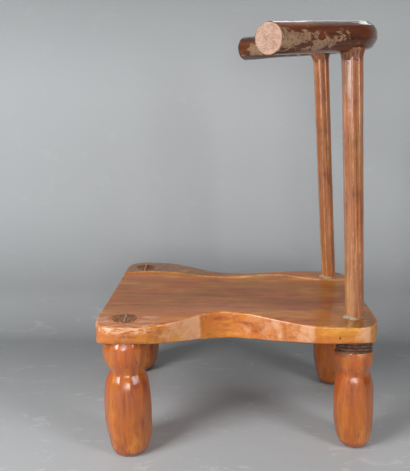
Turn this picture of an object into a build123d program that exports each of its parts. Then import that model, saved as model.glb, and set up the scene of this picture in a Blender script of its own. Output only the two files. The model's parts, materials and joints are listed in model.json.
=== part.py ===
from build123d import *
from math import sqrt
import os

# A carved birthing chair: an hourglass seat plank on four club legs, with two posts that carry a
# bent back rail. All sizes in millimetres. The chair faces -Y and +X is the sitter's left.
# The origin is on the floor under the middle of the chair.

# ---------------------------------------------------------------- seat plank
seat_length = 457.0          # front edge to back edge
seat_height = 233.0          # floor to the top of the plank's margins
plank_thickness = 58.0       # at the middle of the plank, where the split log is deepest
rear_thinning = 4.5          # how much thinner the plank is at the back edge than at the front
log_radius = 530.0           # curve of the underside, across the plank
front_left_reach = 181.0     # from the centre line to the side, at the front left corner
front_right_reach = 184.0    # the same at the other corners and at the waist
left_waist_reach = 107.0
right_waist_reach = 113.0
rear_left_reach = 172.0
rear_right_reach = 131.0
left_waist_y = -18.0         # where each side is narrowest, from the middle of the chair
right_waist_y = 1.0
front_skew = 15.0            # how far the front right corner lies behind the front left one
front_corner_radius = 37.0
rear_corner_radius = 44.0
corner_straight = 3.0        # straight stretch between a corner's round and the waist's curve
top_edge_round = 5.0
bottom_edge_chamfer = 3.5

# The sitting surface is hollowed below its two side margins, and open at the front and the back.
hollow_depth = 4.0
hollow_swell_inset = 62.0    # from the front edge to where the hollow is widest
hollow_bulge_inset = 134.0   # from the back edge to its second wide place
hollow_pinch_inset = 56.0    # from the back edge to where it narrows between the posts
front_margin = 71.0          # plank's left side to the hollow, at the front edge
swell_margin = 62.0          # the same where the hollow is widest
waist_margin = 21.0          # the same at the waist
bulge_reach = 104.0          # centre line to the hollow's edge at its second wide place
pinch_reach = 76.0           # the same between the posts

# ---------------------------------------------------------------- where the legs and posts stand
front_left_inset = 46.0      # from the front edge back to the leg's tenon
front_right_inset = 37.0
front_left_side_inset = 42.0     # from the plank's side at that corner in to the tenon
front_right_side_inset = 41.0
left_post_inset = 34.0       # from the back edge to the post's centre
right_post_inset = 38.5
left_post_side_inset = 51.0
right_post_side_inset = 34.0
# How far each foot stands out, in X and Y, from where its leg's centre line meets the seat's top.
front_left_splay = (8.0, 3.0)
front_right_splay = (-25.0, -23.0)
rear_left_splay = (-2.0, 13.0)
rear_right_splay = (-15.0, 21.0)

# ---------------------------------------------------------------- legs
front_flare_radius = 38.5    # the leg's widest place under the plank
front_flare_height = 181.0
front_neck_radius = 26.5
front_neck_height = 146.0
front_barrel_radius = 39.5
front_barrel_height = 82.0
front_sole_radius = 25.0
rear_flare_radius = 32.0
rear_flare_height = 166.0
rear_neck_radius = 25.0
rear_neck_height = 137.0
rear_barrel_radius = 34.0
rear_barrel_height = 72.0
rear_sole_radius = 18.0
# How full a leg's curves are, each as a share of the stretch that it shapes.
sole_fullness = 0.92         # of the barrel's radius, just above the sole
sole_roundness = 0.04        # of the barrel's height
barrel_drop = 0.45           # where the barrel's curve leaves the upright, below its widest place
barrel_rise = 0.72           # the same above it, of the way to the neck
neck_drop = 0.13             # the same below the neck
neck_rise = 0.16             # the same above the neck, of the way to the flare
flare_drop = 0.55            # the same below the flare's widest place
tenon_radius = 19.5          # the front legs' through tenons
tenon_stand = 0.6            # how far they stand above the plank
wedge_thickness = 4.0
wedge_tip_thickness = 1.0
shim_radius = 30.0           # the packing between the rear left leg and the plank
shim_thickness = 19.0

# ---------------------------------------------------------------- posts
post_sides = 8
left_post_foot_radius = 14.9
left_post_head_radius = 16.4
right_post_foot_radius = 13.8
right_post_head_radius = 14.6
post_arris_round = 2.5
left_post_rise = 439.0       # seat's top to the rail's centre line
right_post_rise = 443.0
left_post_lean = (-3.0, -29.5)   # how far the post's head lies from its foot, in X and Y
right_post_lean = (0.0, -36.9)
post_tenon_radius = 12.5     # through the plank and into the rear leg
post_tenon_reach = 40.0      # how far it goes below the plank's underside
head_tenon_radius = 9.5
head_tenon_depth = 28.0      # from the rail's underside up into its blind hole

# ---------------------------------------------------------------- back rail
rail_radius = 22.6
arm_tip_spread = 424.0       # between the centres of the two sawn ends
arm_reach = 131.5            # from a post's head forward to the sawn end
left_arm_droop = 10.0
right_arm_droop = 5.0
left_saw_skew = 15.0         # degrees by which the saw cut leaves square, towards the outer side
right_saw_skew = 0.0
bend_setback = 35.5          # from a post's head to the corner of the rail's centre line
bend_radius = 66.0
sawn_edge_round = 1.5

# ---------------------------------------------------------------- fillers and pegs
base_filler_width = 5.5
base_filler_height = 6.5
rail_filler_width = 5.5
rail_filler_height = 12.0    # below the rail's underside
rail_filler_wrap = 7.0       # up round the rail's sides
peg_radius = 2.4
peg_drop = 18.0              # seat's top down to the pegs' centre lines
front_peg_inset = 67.5       # from the front left corner's edge to where the front pegs enter
rear_peg_inset = 71.0        # from the back edge to where the rear pegs enter
peg_bite = 8.0               # how far a peg reaches past the tenon's centre

# ---------------------------------------------------------------- clearances
joint_gap = 0.2              # glue line between pieces that fit together
socket_spare = 2.0           # room past the end of a tenon in its blind hole
wedge_spare = 2.0            # wood between a wedge's tip and the peg under it
overrun = 20.0               # how far cutting solids run past what they cut

# ---------------------------------------------------------------- places worked out from the sizes
front_edge = -seat_length / 2
back_edge = seat_length / 2
log_centre_height = seat_height - plank_thickness + log_radius
log_tilt = Vector(0, seat_length, rear_thinning).normalized()
log_front = Vector(0, front_edge, log_centre_height - rear_thinning / 2)
log_back = Vector(0, back_edge, log_centre_height + rear_thinning / 2)
mouth_reach = front_left_reach - front_margin
swell_reach = front_left_reach - swell_margin
peg_height = seat_height - peg_drop
wedge_depth = peg_drop - peg_radius - wedge_spare


def front_line(x):
    """Y of the plank's skewed front edge, at a distance from its centre line."""
    return front_edge + front_skew * (front_left_reach - x) / (front_left_reach + front_right_reach)


def moved(point, shift, rise):
    """A point moved by a shift in X and Y, and a rise."""
    return point + Vector(shift[0], shift[1], rise)


front_left_x = front_left_reach - front_left_side_inset
front_right_x = front_right_side_inset - front_right_reach
left_post_x = rear_left_reach - left_post_side_inset
right_post_x = right_post_side_inset - rear_right_reach
front_left_top = Vector(front_left_x, front_line(front_left_x) + front_left_inset, seat_height)
front_right_top = Vector(front_right_x, front_line(front_right_x) + front_right_inset, seat_height)
left_post_foot = Vector(left_post_x, back_edge - left_post_inset, seat_height)
right_post_foot = Vector(right_post_x, back_edge - right_post_inset, seat_height)
left_post_head = moved(left_post_foot, left_post_lean, left_post_rise)
right_post_head = moved(right_post_foot, right_post_lean, right_post_rise)
front_left_foot = moved(front_left_top, front_left_splay, -seat_height)
front_right_foot = moved(front_right_top, front_right_splay, -seat_height)
rear_left_foot = moved(left_post_foot, rear_left_splay, -seat_height)
rear_right_foot = moved(right_post_foot, rear_right_splay, -seat_height)
left_tip = Vector(arm_tip_spread / 2, left_post_head.Y - arm_reach, left_post_head.Z - left_arm_droop)
right_tip = Vector(-arm_tip_spread / 2, right_post_head.Y - arm_reach, right_post_head.Z - right_arm_droop)


def at_height(start, end, height):
    """The point of the line from start to end that lies at a height above the floor."""
    return start + (end - start) * ((height - start.Z) / (end.Z - start.Z))


def underside_height(x, y):
    """Height of the plank's underside above a point of the floor."""
    return log_centre_height + y * log_tilt.Z / log_tilt.Y - sqrt(log_radius**2 - x**2) / log_tilt.Y


def beyond(start, end, length):
    """The point that lies past end by a length, on the line from start to end."""
    return end + (end - start).normalized() * length


# ---------------------------------------------------------------- shapes that pieces share
def plank_end(left_corner, right_corner, radius, inward):
    """The front or back edge of the plank's outline, with its two round corners."""
    run = inward * (radius + corner_straight)
    return FilletPolyline(
        (left_corner[0], left_corner[1] + run),
        left_corner,
        right_corner,
        (right_corner[0], right_corner[1] + run),
        radius=radius,
    )


def rod(start, end, radius, mode=Mode.ADD):
    """A round bar from start to end."""
    with BuildSketch(Plane(origin=start, z_dir=end - start)) as section:
        Circle(radius)
    extrude(section.sketch, amount=(end - start).length, mode=mode)


def club_leg(foot, top, flare, flare_height, neck, neck_height, barrel, barrel_height, sole):
    """A club-shaped leg round the line from foot to top, running on past the plank's underside."""
    axis_plane = Plane(origin=foot, z_dir=top - foot)
    shoulder = neck_height - barrel_height
    swell = flare_height - neck_height
    sole_edge = (sole, 0)
    belly = (barrel, barrel_height)
    throat = (neck, neck_height)
    rim = (flare, flare_height)
    with BuildSketch(Plane(origin=foot, x_dir=axis_plane.x_dir, z_dir=-axis_plane.y_dir)) as profile:
        with BuildLine():
            Polyline(
                rim,
                (flare, seat_height),
                (0, seat_height),
                (0, -overrun),
                (sole, -overrun),
                sole_edge,
            )
            Bezier(
                sole_edge,
                (barrel * sole_fullness, barrel_height * sole_roundness),
                (barrel, barrel_height * (1 - barrel_drop)),
                belly,
            )
            Bezier(
                belly,
                (barrel, barrel_height + shoulder * barrel_rise),
                (neck, neck_height - shoulder * neck_drop),
                throat,
            )
            Bezier(
                throat,
                (neck, neck_height + swell * neck_rise),
                (flare, flare_height - swell * flare_drop),
                rim,
            )
        make_face()
    revolve(profile.sketch, axis=Axis(foot, top - foot))
    split(bisect_by=Plane.XY, keep=Keep.TOP)


def wedge_form(top, spare, mode=Mode.ADD):
    """The tapered wedge in a front tenon's end, or with some spare its slot."""
    half_top = wedge_thickness / 2 + spare
    half_tip = wedge_tip_thickness / 2 + spare
    depth = wedge_depth + spare
    with BuildSketch(Plane(origin=top, x_dir=(0, 1, 0), z_dir=(1, 0, 0))) as section:
        with BuildLine():
            Polyline(
                (-half_tip, -depth),
                (half_tip, -depth),
                (half_top, 0),
                (half_top, overrun),
                (-half_top, overrun),
                (-half_top, 0),
                close=True,
            )
        make_face()
    extrude(section.sketch, amount=tenon_radius + overrun, both=True, mode=mode)


def peg_line(centre_line, side, reach, entry_y):
    """Where a peg ends inside its tenon, and a point well outside the plank's edge."""
    centre = at_height(*centre_line, peg_height)
    entry = Vector(side * reach, entry_y, peg_height)
    return beyond(entry, centre, peg_bite), beyond(centre, entry, overrun)


def faceted_post(foot, head, foot_radius, head_radius):
    """A faceted upright, coped to the rail, with a tenon at each end."""
    with BuildSketch(Plane(foot)) as foot_section:
        outline = RegularPolygon(foot_radius, post_sides)
        fillet(outline.vertices(), post_arris_round)
    with BuildSketch(Plane(head)) as head_section:
        outline = RegularPolygon(head_radius, post_sides)
        fillet(outline.vertices(), post_arris_round)
    loft([foot_section.sketch, head_section.sketch])
    add(rail_envelope.part, mode=Mode.SUBTRACT)
    rod(*foot_tenon_line(foot, head, 0), post_tenon_radius)
    rod(*head_tenon_line(foot, head, 0), head_tenon_radius)


def foot_tenon_line(foot, head, spare):
    """The ends of the tenon that a post sends down into its rear leg."""
    end_height = underside_height(foot.X, foot.Y) - post_tenon_reach - spare
    return foot, at_height(head, foot, end_height)


def head_tenon_line(foot, head, spare):
    """The ends of the tenon that a post sends up into the rail."""
    underside = head.Z - rail_radius
    start = at_height(foot, head, underside - overrun)
    return start, at_height(foot, head, underside + head_tenon_depth + spare)


# ---------------------------------------------------------------- solids that pieces are cut with
with BuildPart() as plank_blank:
    with BuildSketch():
        with BuildLine():
            front = plank_end(
                (front_left_reach, front_line(front_left_reach)),
                (-front_right_reach, front_line(-front_right_reach)),
                front_corner_radius,
                1,
            )
            back = plank_end(
                (rear_left_reach, back_edge),
                (-rear_right_reach, back_edge),
                rear_corner_radius,
                -1,
            )
            along = [(0, 1), (0, 1), (0, 1)]
            Spline(front @ 0, (left_waist_reach, left_waist_y), back @ 0, tangents=along)
            Spline(front @ 1, (-right_waist_reach, right_waist_y), back @ 1, tangents=along)
        make_face()
    extrude(amount=seat_height)


def log_form(radius):
    """A long round log on the plank's log axis."""
    rod(log_front - log_tilt * overrun, log_back + log_tilt * overrun, radius)


with BuildPart() as log_solid:
    log_form(log_radius)

with BuildPart() as log_envelope:
    log_form(log_radius + joint_gap)

with BuildPart() as shim_solid:
    log_form(log_radius + shim_thickness)

with BuildPart() as shim_envelope:
    log_form(log_radius + shim_thickness + joint_gap)

with BuildLine() as rail_path:
    left_corner = beyond(left_tip, left_post_head, bend_setback)
    right_corner = beyond(right_tip, right_post_head, bend_setback)
    FilletPolyline(
        beyond(right_corner, right_tip, overrun),
        right_corner,
        left_corner,
        beyond(left_corner, left_tip, overrun),
        radius=bend_radius,
    )


def rail_shape(radius):
    """The bent rail's full length, running on past its sawn ends."""
    with BuildSketch(rail_path.line ^ 0) as section:
        Circle(radius)
    sweep(section.sketch, path=rail_path.line)


with BuildPart() as rail_body:
    rail_shape(rail_radius)

with BuildPart() as rail_envelope:
    rail_shape(rail_radius + joint_gap)

front_left_line = (front_left_foot, front_left_top)
front_right_line = (front_right_foot, front_right_top)
left_post_line = (left_post_foot, left_post_head)
right_post_line = (right_post_foot, right_post_head)
front_left_peg_line = peg_line(front_left_line, 1, front_left_reach, front_edge + front_peg_inset)
front_right_peg_line = peg_line(front_right_line, -1, front_right_reach, front_edge + front_peg_inset)
rear_left_peg_line = peg_line(left_post_line, 1, rear_left_reach, back_edge - rear_peg_inset)
rear_right_peg_line = peg_line(right_post_line, -1, rear_right_reach, back_edge - rear_peg_inset)
peg_lines = (front_left_peg_line, front_right_peg_line, rear_left_peg_line, rear_right_peg_line)

# ---------------------------------------------------------------- seat plank
with BuildPart() as seat_plank:
    add(plank_blank.part)
    add(log_solid.part, mode=Mode.INTERSECT)
    fillet(seat_plank.faces().sort_by(Axis.Z)[-1].edges(), top_edge_round)
    chamfer(seat_plank.faces().sort_by(Axis.Z)[0].edges(), bottom_edge_chamfer)
    with BuildSketch(Plane.XY.offset(seat_height)):
        with BuildLine():
            edge_of_hollow = Spline(
                (mouth_reach, front_edge),
                (swell_reach, front_edge + hollow_swell_inset),
                (left_waist_reach - waist_margin, left_waist_y),
                (bulge_reach, back_edge - hollow_bulge_inset),
                (pinch_reach, back_edge - hollow_pinch_inset),
            )
            Polyline(
                edge_of_hollow @ 1,
                (pinch_reach, back_edge + overrun),
                (0, back_edge + overrun),
            )
            Polyline(
                edge_of_hollow @ 0,
                (mouth_reach, front_edge - overrun),
                (0, front_edge - overrun),
            )
            mirror(about=Plane.YZ)
        make_face()
    extrude(amount=-hollow_depth, mode=Mode.SUBTRACT)
    for foot, top in (front_left_line, front_right_line):
        rod(foot, beyond(foot, top, overrun), tenon_radius + joint_gap, mode=Mode.SUBTRACT)
    for foot, head in (left_post_line, right_post_line):
        rod(beyond(head, foot, seat_height), head, post_tenon_radius + joint_gap, mode=Mode.SUBTRACT)
    for inner, outer in peg_lines:
        rod(inner, outer, peg_radius + joint_gap, mode=Mode.SUBTRACT)
seat_plank.part.label = "seat_plank"

# ---------------------------------------------------------------- front legs and their wedges
front_sizes = (
    front_flare_radius,
    front_flare_height,
    front_neck_radius,
    front_neck_height,
    front_barrel_radius,
    front_barrel_height,
    front_sole_radius,
)
rear_sizes = (
    rear_flare_radius,
    rear_flare_height,
    rear_neck_radius,
    rear_neck_height,
    rear_barrel_radius,
    rear_barrel_height,
    rear_sole_radius,
)


def tenoned_leg(foot, top, peg):
    """A front leg: coped to the plank's underside, with a wedged and pegged through tenon."""
    club_leg(foot, top, *front_sizes)
    add(log_envelope.part, mode=Mode.SUBTRACT)
    rod(at_height(foot, top, front_neck_height), beyond(foot, top, overrun), tenon_radius)
    split(bisect_by=Plane.XY.offset(seat_height + tenon_stand), keep=Keep.BOTTOM)
    wedge_form(top, joint_gap, mode=Mode.SUBTRACT)
    rod(beyond(peg[1], peg[0], joint_gap), peg[1], peg_radius + joint_gap, mode=Mode.SUBTRACT)


with BuildPart() as front_left_leg:
    tenoned_leg(*front_left_line, front_left_peg_line)
front_left_leg.part.label = "front_left_leg"

with BuildPart() as front_right_leg:
    tenoned_leg(*front_right_line, front_right_peg_line)
front_right_leg.part.label = "front_right_leg"


def tenon_wedge(foot, top):
    """The wedge that spreads a through tenon, trimmed flush with it."""
    rod(at_height(foot, top, front_neck_height), beyond(foot, top, overrun), tenon_radius)
    wedge_form(top, 0, mode=Mode.INTERSECT)
    split(bisect_by=Plane.XY.offset(seat_height + tenon_stand), keep=Keep.BOTTOM)


with BuildPart() as front_left_tenon_wedge:
    tenon_wedge(*front_left_line)
front_left_tenon_wedge.part.label = "front_left_tenon_wedge"

with BuildPart() as front_right_tenon_wedge:
    tenon_wedge(*front_right_line)
front_right_tenon_wedge.part.label = "front_right_tenon_wedge"

# ---------------------------------------------------------------- rear legs and the packing
with BuildPart() as rear_left_leg:
    club_leg(rear_left_foot, left_post_foot, *rear_sizes)
    add(shim_envelope.part, mode=Mode.SUBTRACT)
    rod(
        *foot_tenon_line(*left_post_line, socket_spare),
        post_tenon_radius + joint_gap,
        mode=Mode.SUBTRACT,
    )
rear_left_leg.part.label = "rear_left_leg"

with BuildPart() as rear_right_leg:
    club_leg(rear_right_foot, right_post_foot, *rear_sizes)
    add(log_envelope.part, mode=Mode.SUBTRACT)
    rod(
        *foot_tenon_line(*right_post_line, socket_spare),
        post_tenon_radius + joint_gap,
        mode=Mode.SUBTRACT,
    )
rear_right_leg.part.label = "rear_right_leg"

with BuildPart() as rear_left_leg_shim:
    rod(rear_left_foot, left_post_foot, shim_radius)
    add(shim_solid.part, mode=Mode.INTERSECT)
    add(log_envelope.part, mode=Mode.SUBTRACT)
    rod(
        *foot_tenon_line(*left_post_line, socket_spare),
        post_tenon_radius + joint_gap,
        mode=Mode.SUBTRACT,
    )
rear_left_leg_shim.part.label = "rear_left_leg_shim"

# ---------------------------------------------------------------- posts
with BuildPart() as left_post:
    faceted_post(*left_post_line, left_post_foot_radius, left_post_head_radius)
    rod(
        beyond(rear_left_peg_line[1], rear_left_peg_line[0], joint_gap),
        rear_left_peg_line[1],
        peg_radius + joint_gap,
        mode=Mode.SUBTRACT,
    )
left_post.part.label = "left_post"

with BuildPart() as right_post:
    faceted_post(*right_post_line, right_post_foot_radius, right_post_head_radius)
    rod(
        beyond(rear_right_peg_line[1], rear_right_peg_line[0], joint_gap),
        rear_right_peg_line[1],
        peg_radius + joint_gap,
        mode=Mode.SUBTRACT,
    )
right_post.part.label = "right_post"


# ---------------------------------------------------------------- back rail
def saw_off(inner, tip, skew):
    """Cut an arm at its tip, with the saw turned about the upright by a skew in degrees."""
    facing = (tip - inner).rotate(Axis.Z, skew)
    split(bisect_by=Plane(origin=tip, z_dir=facing), keep=Keep.BOTTOM)


with BuildPart() as arm_rail:
    add(rail_body.part)
    saw_off(left_corner, left_tip, left_saw_skew)
    saw_off(right_corner, right_tip, -right_saw_skew)
    sawn_ends = arm_rail.faces().filter_by(GeomType.PLANE)
    fillet(sawn_ends.edges(), sawn_edge_round)
    for foot, head in (left_post_line, right_post_line):
        rod(
            *head_tenon_line(foot, head, socket_spare),
            head_tenon_radius + joint_gap,
            mode=Mode.SUBTRACT,
        )
arm_rail.part.label = "arm_rail"


# ---------------------------------------------------------------- fillers
def base_filler(foot, foot_radius):
    """A bead of filler on the plank, round the foot of a post."""
    with Locations(foot):
        Cone(
            foot_radius + base_filler_width,
            foot_radius + joint_gap,
            base_filler_height,
            align=(Align.CENTER, Align.CENTER, Align.MIN),
        )


def rail_filler(head, head_radius):
    """A flare of filler from the head of a post onto the rail."""
    with Locations(head - Vector(0, 0, rail_radius + rail_filler_height)):
        Cone(
            head_radius + joint_gap,
            head_radius + rail_filler_width,
            rail_filler_height + rail_filler_wrap,
            align=(Align.CENTER, Align.CENTER, Align.MIN),
        )
    add(rail_envelope.part, mode=Mode.SUBTRACT)


with BuildPart() as left_post_base_filler:
    base_filler(left_post_foot, left_post_foot_radius)
    add(left_post.part, mode=Mode.SUBTRACT)
left_post_base_filler.part.label = "left_post_base_filler"

with BuildPart() as right_post_base_filler:
    base_filler(right_post_foot, right_post_foot_radius)
    add(right_post.part, mode=Mode.SUBTRACT)
right_post_base_filler.part.label = "right_post_base_filler"

with BuildPart() as left_rail_filler:
    rail_filler(left_post_head, left_post_head_radius)
    add(left_post.part, mode=Mode.SUBTRACT)
left_rail_filler.part.label = "left_rail_filler"

with BuildPart() as right_rail_filler:
    rail_filler(right_post_head, right_post_head_radius)
    add(right_post.part, mode=Mode.SUBTRACT)
right_rail_filler.part.label = "right_rail_filler"

# ---------------------------------------------------------------- locking pegs
with BuildPart() as front_left_locking_peg:
    rod(*front_left_peg_line, peg_radius)
    add(plank_blank.part, mode=Mode.INTERSECT)
front_left_locking_peg.part.label = "front_left_locking_peg"

with BuildPart() as front_right_locking_peg:
    rod(*front_right_peg_line, peg_radius)
    add(plank_blank.part, mode=Mode.INTERSECT)
front_right_locking_peg.part.label = "front_right_locking_peg"

with BuildPart() as rear_left_locking_peg:
    rod(*rear_left_peg_line, peg_radius)
    add(plank_blank.part, mode=Mode.INTERSECT)
rear_left_locking_peg.part.label = "rear_left_locking_peg"

with BuildPart() as rear_right_locking_peg:
    rod(*rear_right_peg_line, peg_radius)
    add(plank_blank.part, mode=Mode.INTERSECT)
rear_right_locking_peg.part.label = "rear_right_locking_peg"

# ---------------------------------------------------------------- write every piece
os.makedirs("parts", exist_ok=True)
for piece in (
    seat_plank,
    front_left_leg,
    front_right_leg,
    front_left_tenon_wedge,
    front_right_tenon_wedge,
    rear_left_leg,
    rear_right_leg,
    rear_left_leg_shim,
    left_post,
    right_post,
    arm_rail,
    left_post_base_filler,
    right_post_base_filler,
    left_rail_filler,
    right_rail_filler,
    front_left_locking_peg,
    front_right_locking_peg,
    rear_left_locking_peg,
    rear_right_locking_peg,
):
    export_step(piece.part, f"parts/{piece.part.label}.step")
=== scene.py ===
import json
import math
from typing import NamedTuple

import bmesh
import bpy
import numpy as np
from bpy.props import FloatProperty, FloatVectorProperty, IntProperty, PointerProperty
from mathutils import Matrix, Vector, geometry


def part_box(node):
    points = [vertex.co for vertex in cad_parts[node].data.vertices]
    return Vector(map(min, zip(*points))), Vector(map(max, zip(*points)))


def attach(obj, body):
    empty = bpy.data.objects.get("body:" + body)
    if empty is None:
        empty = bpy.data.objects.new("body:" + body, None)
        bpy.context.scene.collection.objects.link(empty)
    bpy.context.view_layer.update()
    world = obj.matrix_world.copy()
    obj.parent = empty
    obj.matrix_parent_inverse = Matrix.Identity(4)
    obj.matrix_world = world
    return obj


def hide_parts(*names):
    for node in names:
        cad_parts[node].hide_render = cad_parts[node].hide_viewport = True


bl_info = {
    "name": "Carved Birthing Chair",
    "version": (1, 0, 0),
    "blender": (4, 5, 0),
    "location": "View3D > Sidebar > Birthing Chair",
    "description": "Builds a hand-carved hardwood birthing chair round its packed frame",
    "category": "Object",
}

MM = 0.001
FLAT_END_STEP = 0.02 * MM      # rise from ring to ring on a flat end, which keeps the rings in order
WELD = 0.01 * MM

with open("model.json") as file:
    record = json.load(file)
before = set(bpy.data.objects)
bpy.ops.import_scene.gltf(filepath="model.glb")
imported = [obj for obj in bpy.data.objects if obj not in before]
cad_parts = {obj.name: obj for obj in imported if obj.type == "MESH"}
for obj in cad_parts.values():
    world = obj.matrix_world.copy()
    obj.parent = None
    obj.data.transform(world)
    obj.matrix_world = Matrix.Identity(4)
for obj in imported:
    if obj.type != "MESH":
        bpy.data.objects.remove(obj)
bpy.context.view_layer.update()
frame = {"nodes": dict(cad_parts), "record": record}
SEAT_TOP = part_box("left_post_base_filler")[0].z
UP = Vector((0, 0, 1))


def sole_place(name):
    """Where a leg's sole stands on the floor, from the record's mounts."""
    for mount in frame["record"]["mounts"]:
        if mount["name"] == name:
            return Vector(mount["pos_m"])
    raise RuntimeError(f"The packed record has no mount named {name}")


def on_seat(node):
    """Where the middle of a CAD node's box lies on the seat."""
    low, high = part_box(node)
    middle = (low + high) / 2
    return Vector((middle.x, middle.y, SEAT_TOP))


# ================================================================ sizes and colours that a user may change
def length(name, description, millimetres):
    size = millimetres * MM
    return FloatProperty(name=name, description=description, default=size, unit="LENGTH", precision=4)


def amount(name, description, default, **choices):
    return FloatProperty(name=name, description=description, default=default, **choices)


def tilt(name, description, degrees):
    return amount(name, description, math.radians(degrees), subtype="ANGLE")


def whole(name, description, default, least, most):
    return IntProperty(name=name, description=description, default=default, min=least, max=most)


def triple(name, description, default, **choices):
    return FloatVectorProperty(name=name, description=description, default=default, **choices)


def colour(name, description, default):
    return triple(name, description, default, subtype="COLOR", size=3, min=0, max=1)


def place(name, description, default):
    return triple(name, description, default, subtype="XYZ", unit="LENGTH", precision=4)


class PlankSizes(bpy.types.PropertyGroup):
    thickness: length("Thickness", "At the middle, where the split log is deepest", 58)
    log_radius: length("Log radius", "Curve of the underside, across the plank", 530)
    rear_thinning: length("Rear thinning", "How much thinner the plank is at its back edge", 4.5)
    rim_drop: length("Rim drop", "From the seat's top down to where the frame's rounded edge starts", 5)
    edge_round: length("Edge round", "Usual round of the top edge", 2.4)
    ear_round: length("Ear round", "Rubbed round of the top edge beside the front left tenon", 8.5)
    foot_round: length("Bottom round", "Round of the bottom edge", 3)
    hollow_depth: length("Hollow depth", "How far the sitting surface lies below its margins", 2.0)
    step_width: length("Step width", "Width of the cut that leads down into the hollow", 1.6)
    dish: length("Dish", "How much deeper the hollow is at its middle", 3.2)
    mesh_pitch: length("Mesh pitch", "Spacing of the points of the sitting surface", 3.2)


class LegSizes(bpy.types.PropertyGroup):
    sole_radius: length("Sole radius", "Where the leg stands", 25)
    barrel_radius: length("Barrel radius", "Widest place of the leg's barrel", 39.5)
    barrel_height: length("Barrel height", "Height of the barrel's widest place", 82)
    neck_radius: length("Neck radius", "Narrowest place under the flare", 28.3)
    neck_height: length("Neck height", "Height of the neck", 146)
    flare_radius: length("Flare radius", "Widest place under the plank", 36.8)
    flare_height: length("Flare height", "Height of the flare's widest place", 181)
    facets: whole("Facets", "Cuts round the leg", 11, 5, 24)
    facet_depth: amount("Facet depth", "How flat the cuts are", 0.6)
    lip_height: length("Lip height", "Bevel round the leg's top, under the plank", 11)
    lip_depth: length("Lip depth", "How far the bevel cuts in, on the outer side", 4.2)
    belly_shift: length("Belly shift", "How far the lower barrel swells backward", 2.6)
    flare_shift: length("Flare shift", "How far the flare swells forward", 2.6)
    sides: whole("Mesh sides", "Points round the leg", 112, 24, 256)


class JointSizes(bpy.types.PropertyGroup):
    tenon_radius: length("Tenon radius", "Front legs' through tenons", 19.5)
    tenon_stand: length("Tenon stand", "How far a front tenon stands above the plank", 0.6)
    tenon_crumble: length("Tenon crumble", "How rough the broken end grain of a tenon is", 2.6)
    wedge_thickness: length("Wedge thickness", "Wedge in a front tenon, at its top", 4)
    wedge_depth: length("Wedge depth", "How deep the wedge is driven", 13.6)
    shim_radius: length("Packing radius", "Packing over the rear left leg", 30)
    shim_thickness: length("Packing thickness", "Between the leg and the plank", 19)
    peg_radius: length("Peg radius", "Locking pegs in the plank's side", 2.4)
    gap: length("Gap", "Glue line between pieces", 0.2)


class PostSizes(bpy.types.PropertyGroup):
    left_head: place("Left head", "Where the left post meets the rail's centre line", (0.118, 0.165, 0.672))
    right_head: place("Right head", "The same for the right post", (-0.097, 0.1531, 0.676))
    left_foot_radius: length("Left foot radius", "Across the arrises", 14.9)
    left_head_radius: length("Left head radius", "Across the arrises", 16.4)
    right_foot_radius: length("Right foot radius", "Across the arrises", 13.8)
    right_head_radius: length("Right head radius", "Across the arrises", 14.6)
    tenon_radius: length("Tenon radius", "Post's tenon through the plank", 12.5)
    facets: whole("Facets", "Faces round the post", 8, 4, 16)


class RailSizes(bpy.types.PropertyGroup):
    radius: length("Radius", "Of the bent branch", 22.6)
    left_tip: place("Left tip", "Centre of the left sawn end", (0.212, 0.0335, 0.662))
    right_tip: place("Right tip", "Centre of the right sawn end", (-0.212, 0.0216, 0.671))
    bend_setback: length("Bend setback", "From a post's head to the corner of the centre line", 35.5)
    bend_radius: length("Bend radius", "Of the centre line", 66)
    left_skew: tilt("Left saw skew", "How far the cut leaves square", 15)
    rim_round: length("Rim round", "Worn rim of the sawn ends", 1.8)


class FillerSizes(bpy.types.PropertyGroup):
    base_width: length("Base bead width", "Beyond the post's foot", 6.0)
    base_height: length("Base bead height", "Above the seat", 3.2)
    rail_width: length("Rail bead width", "Beyond the post's head", 4.0)
    rail_height: length("Rail bead height", "Below the rail", 12)


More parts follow.
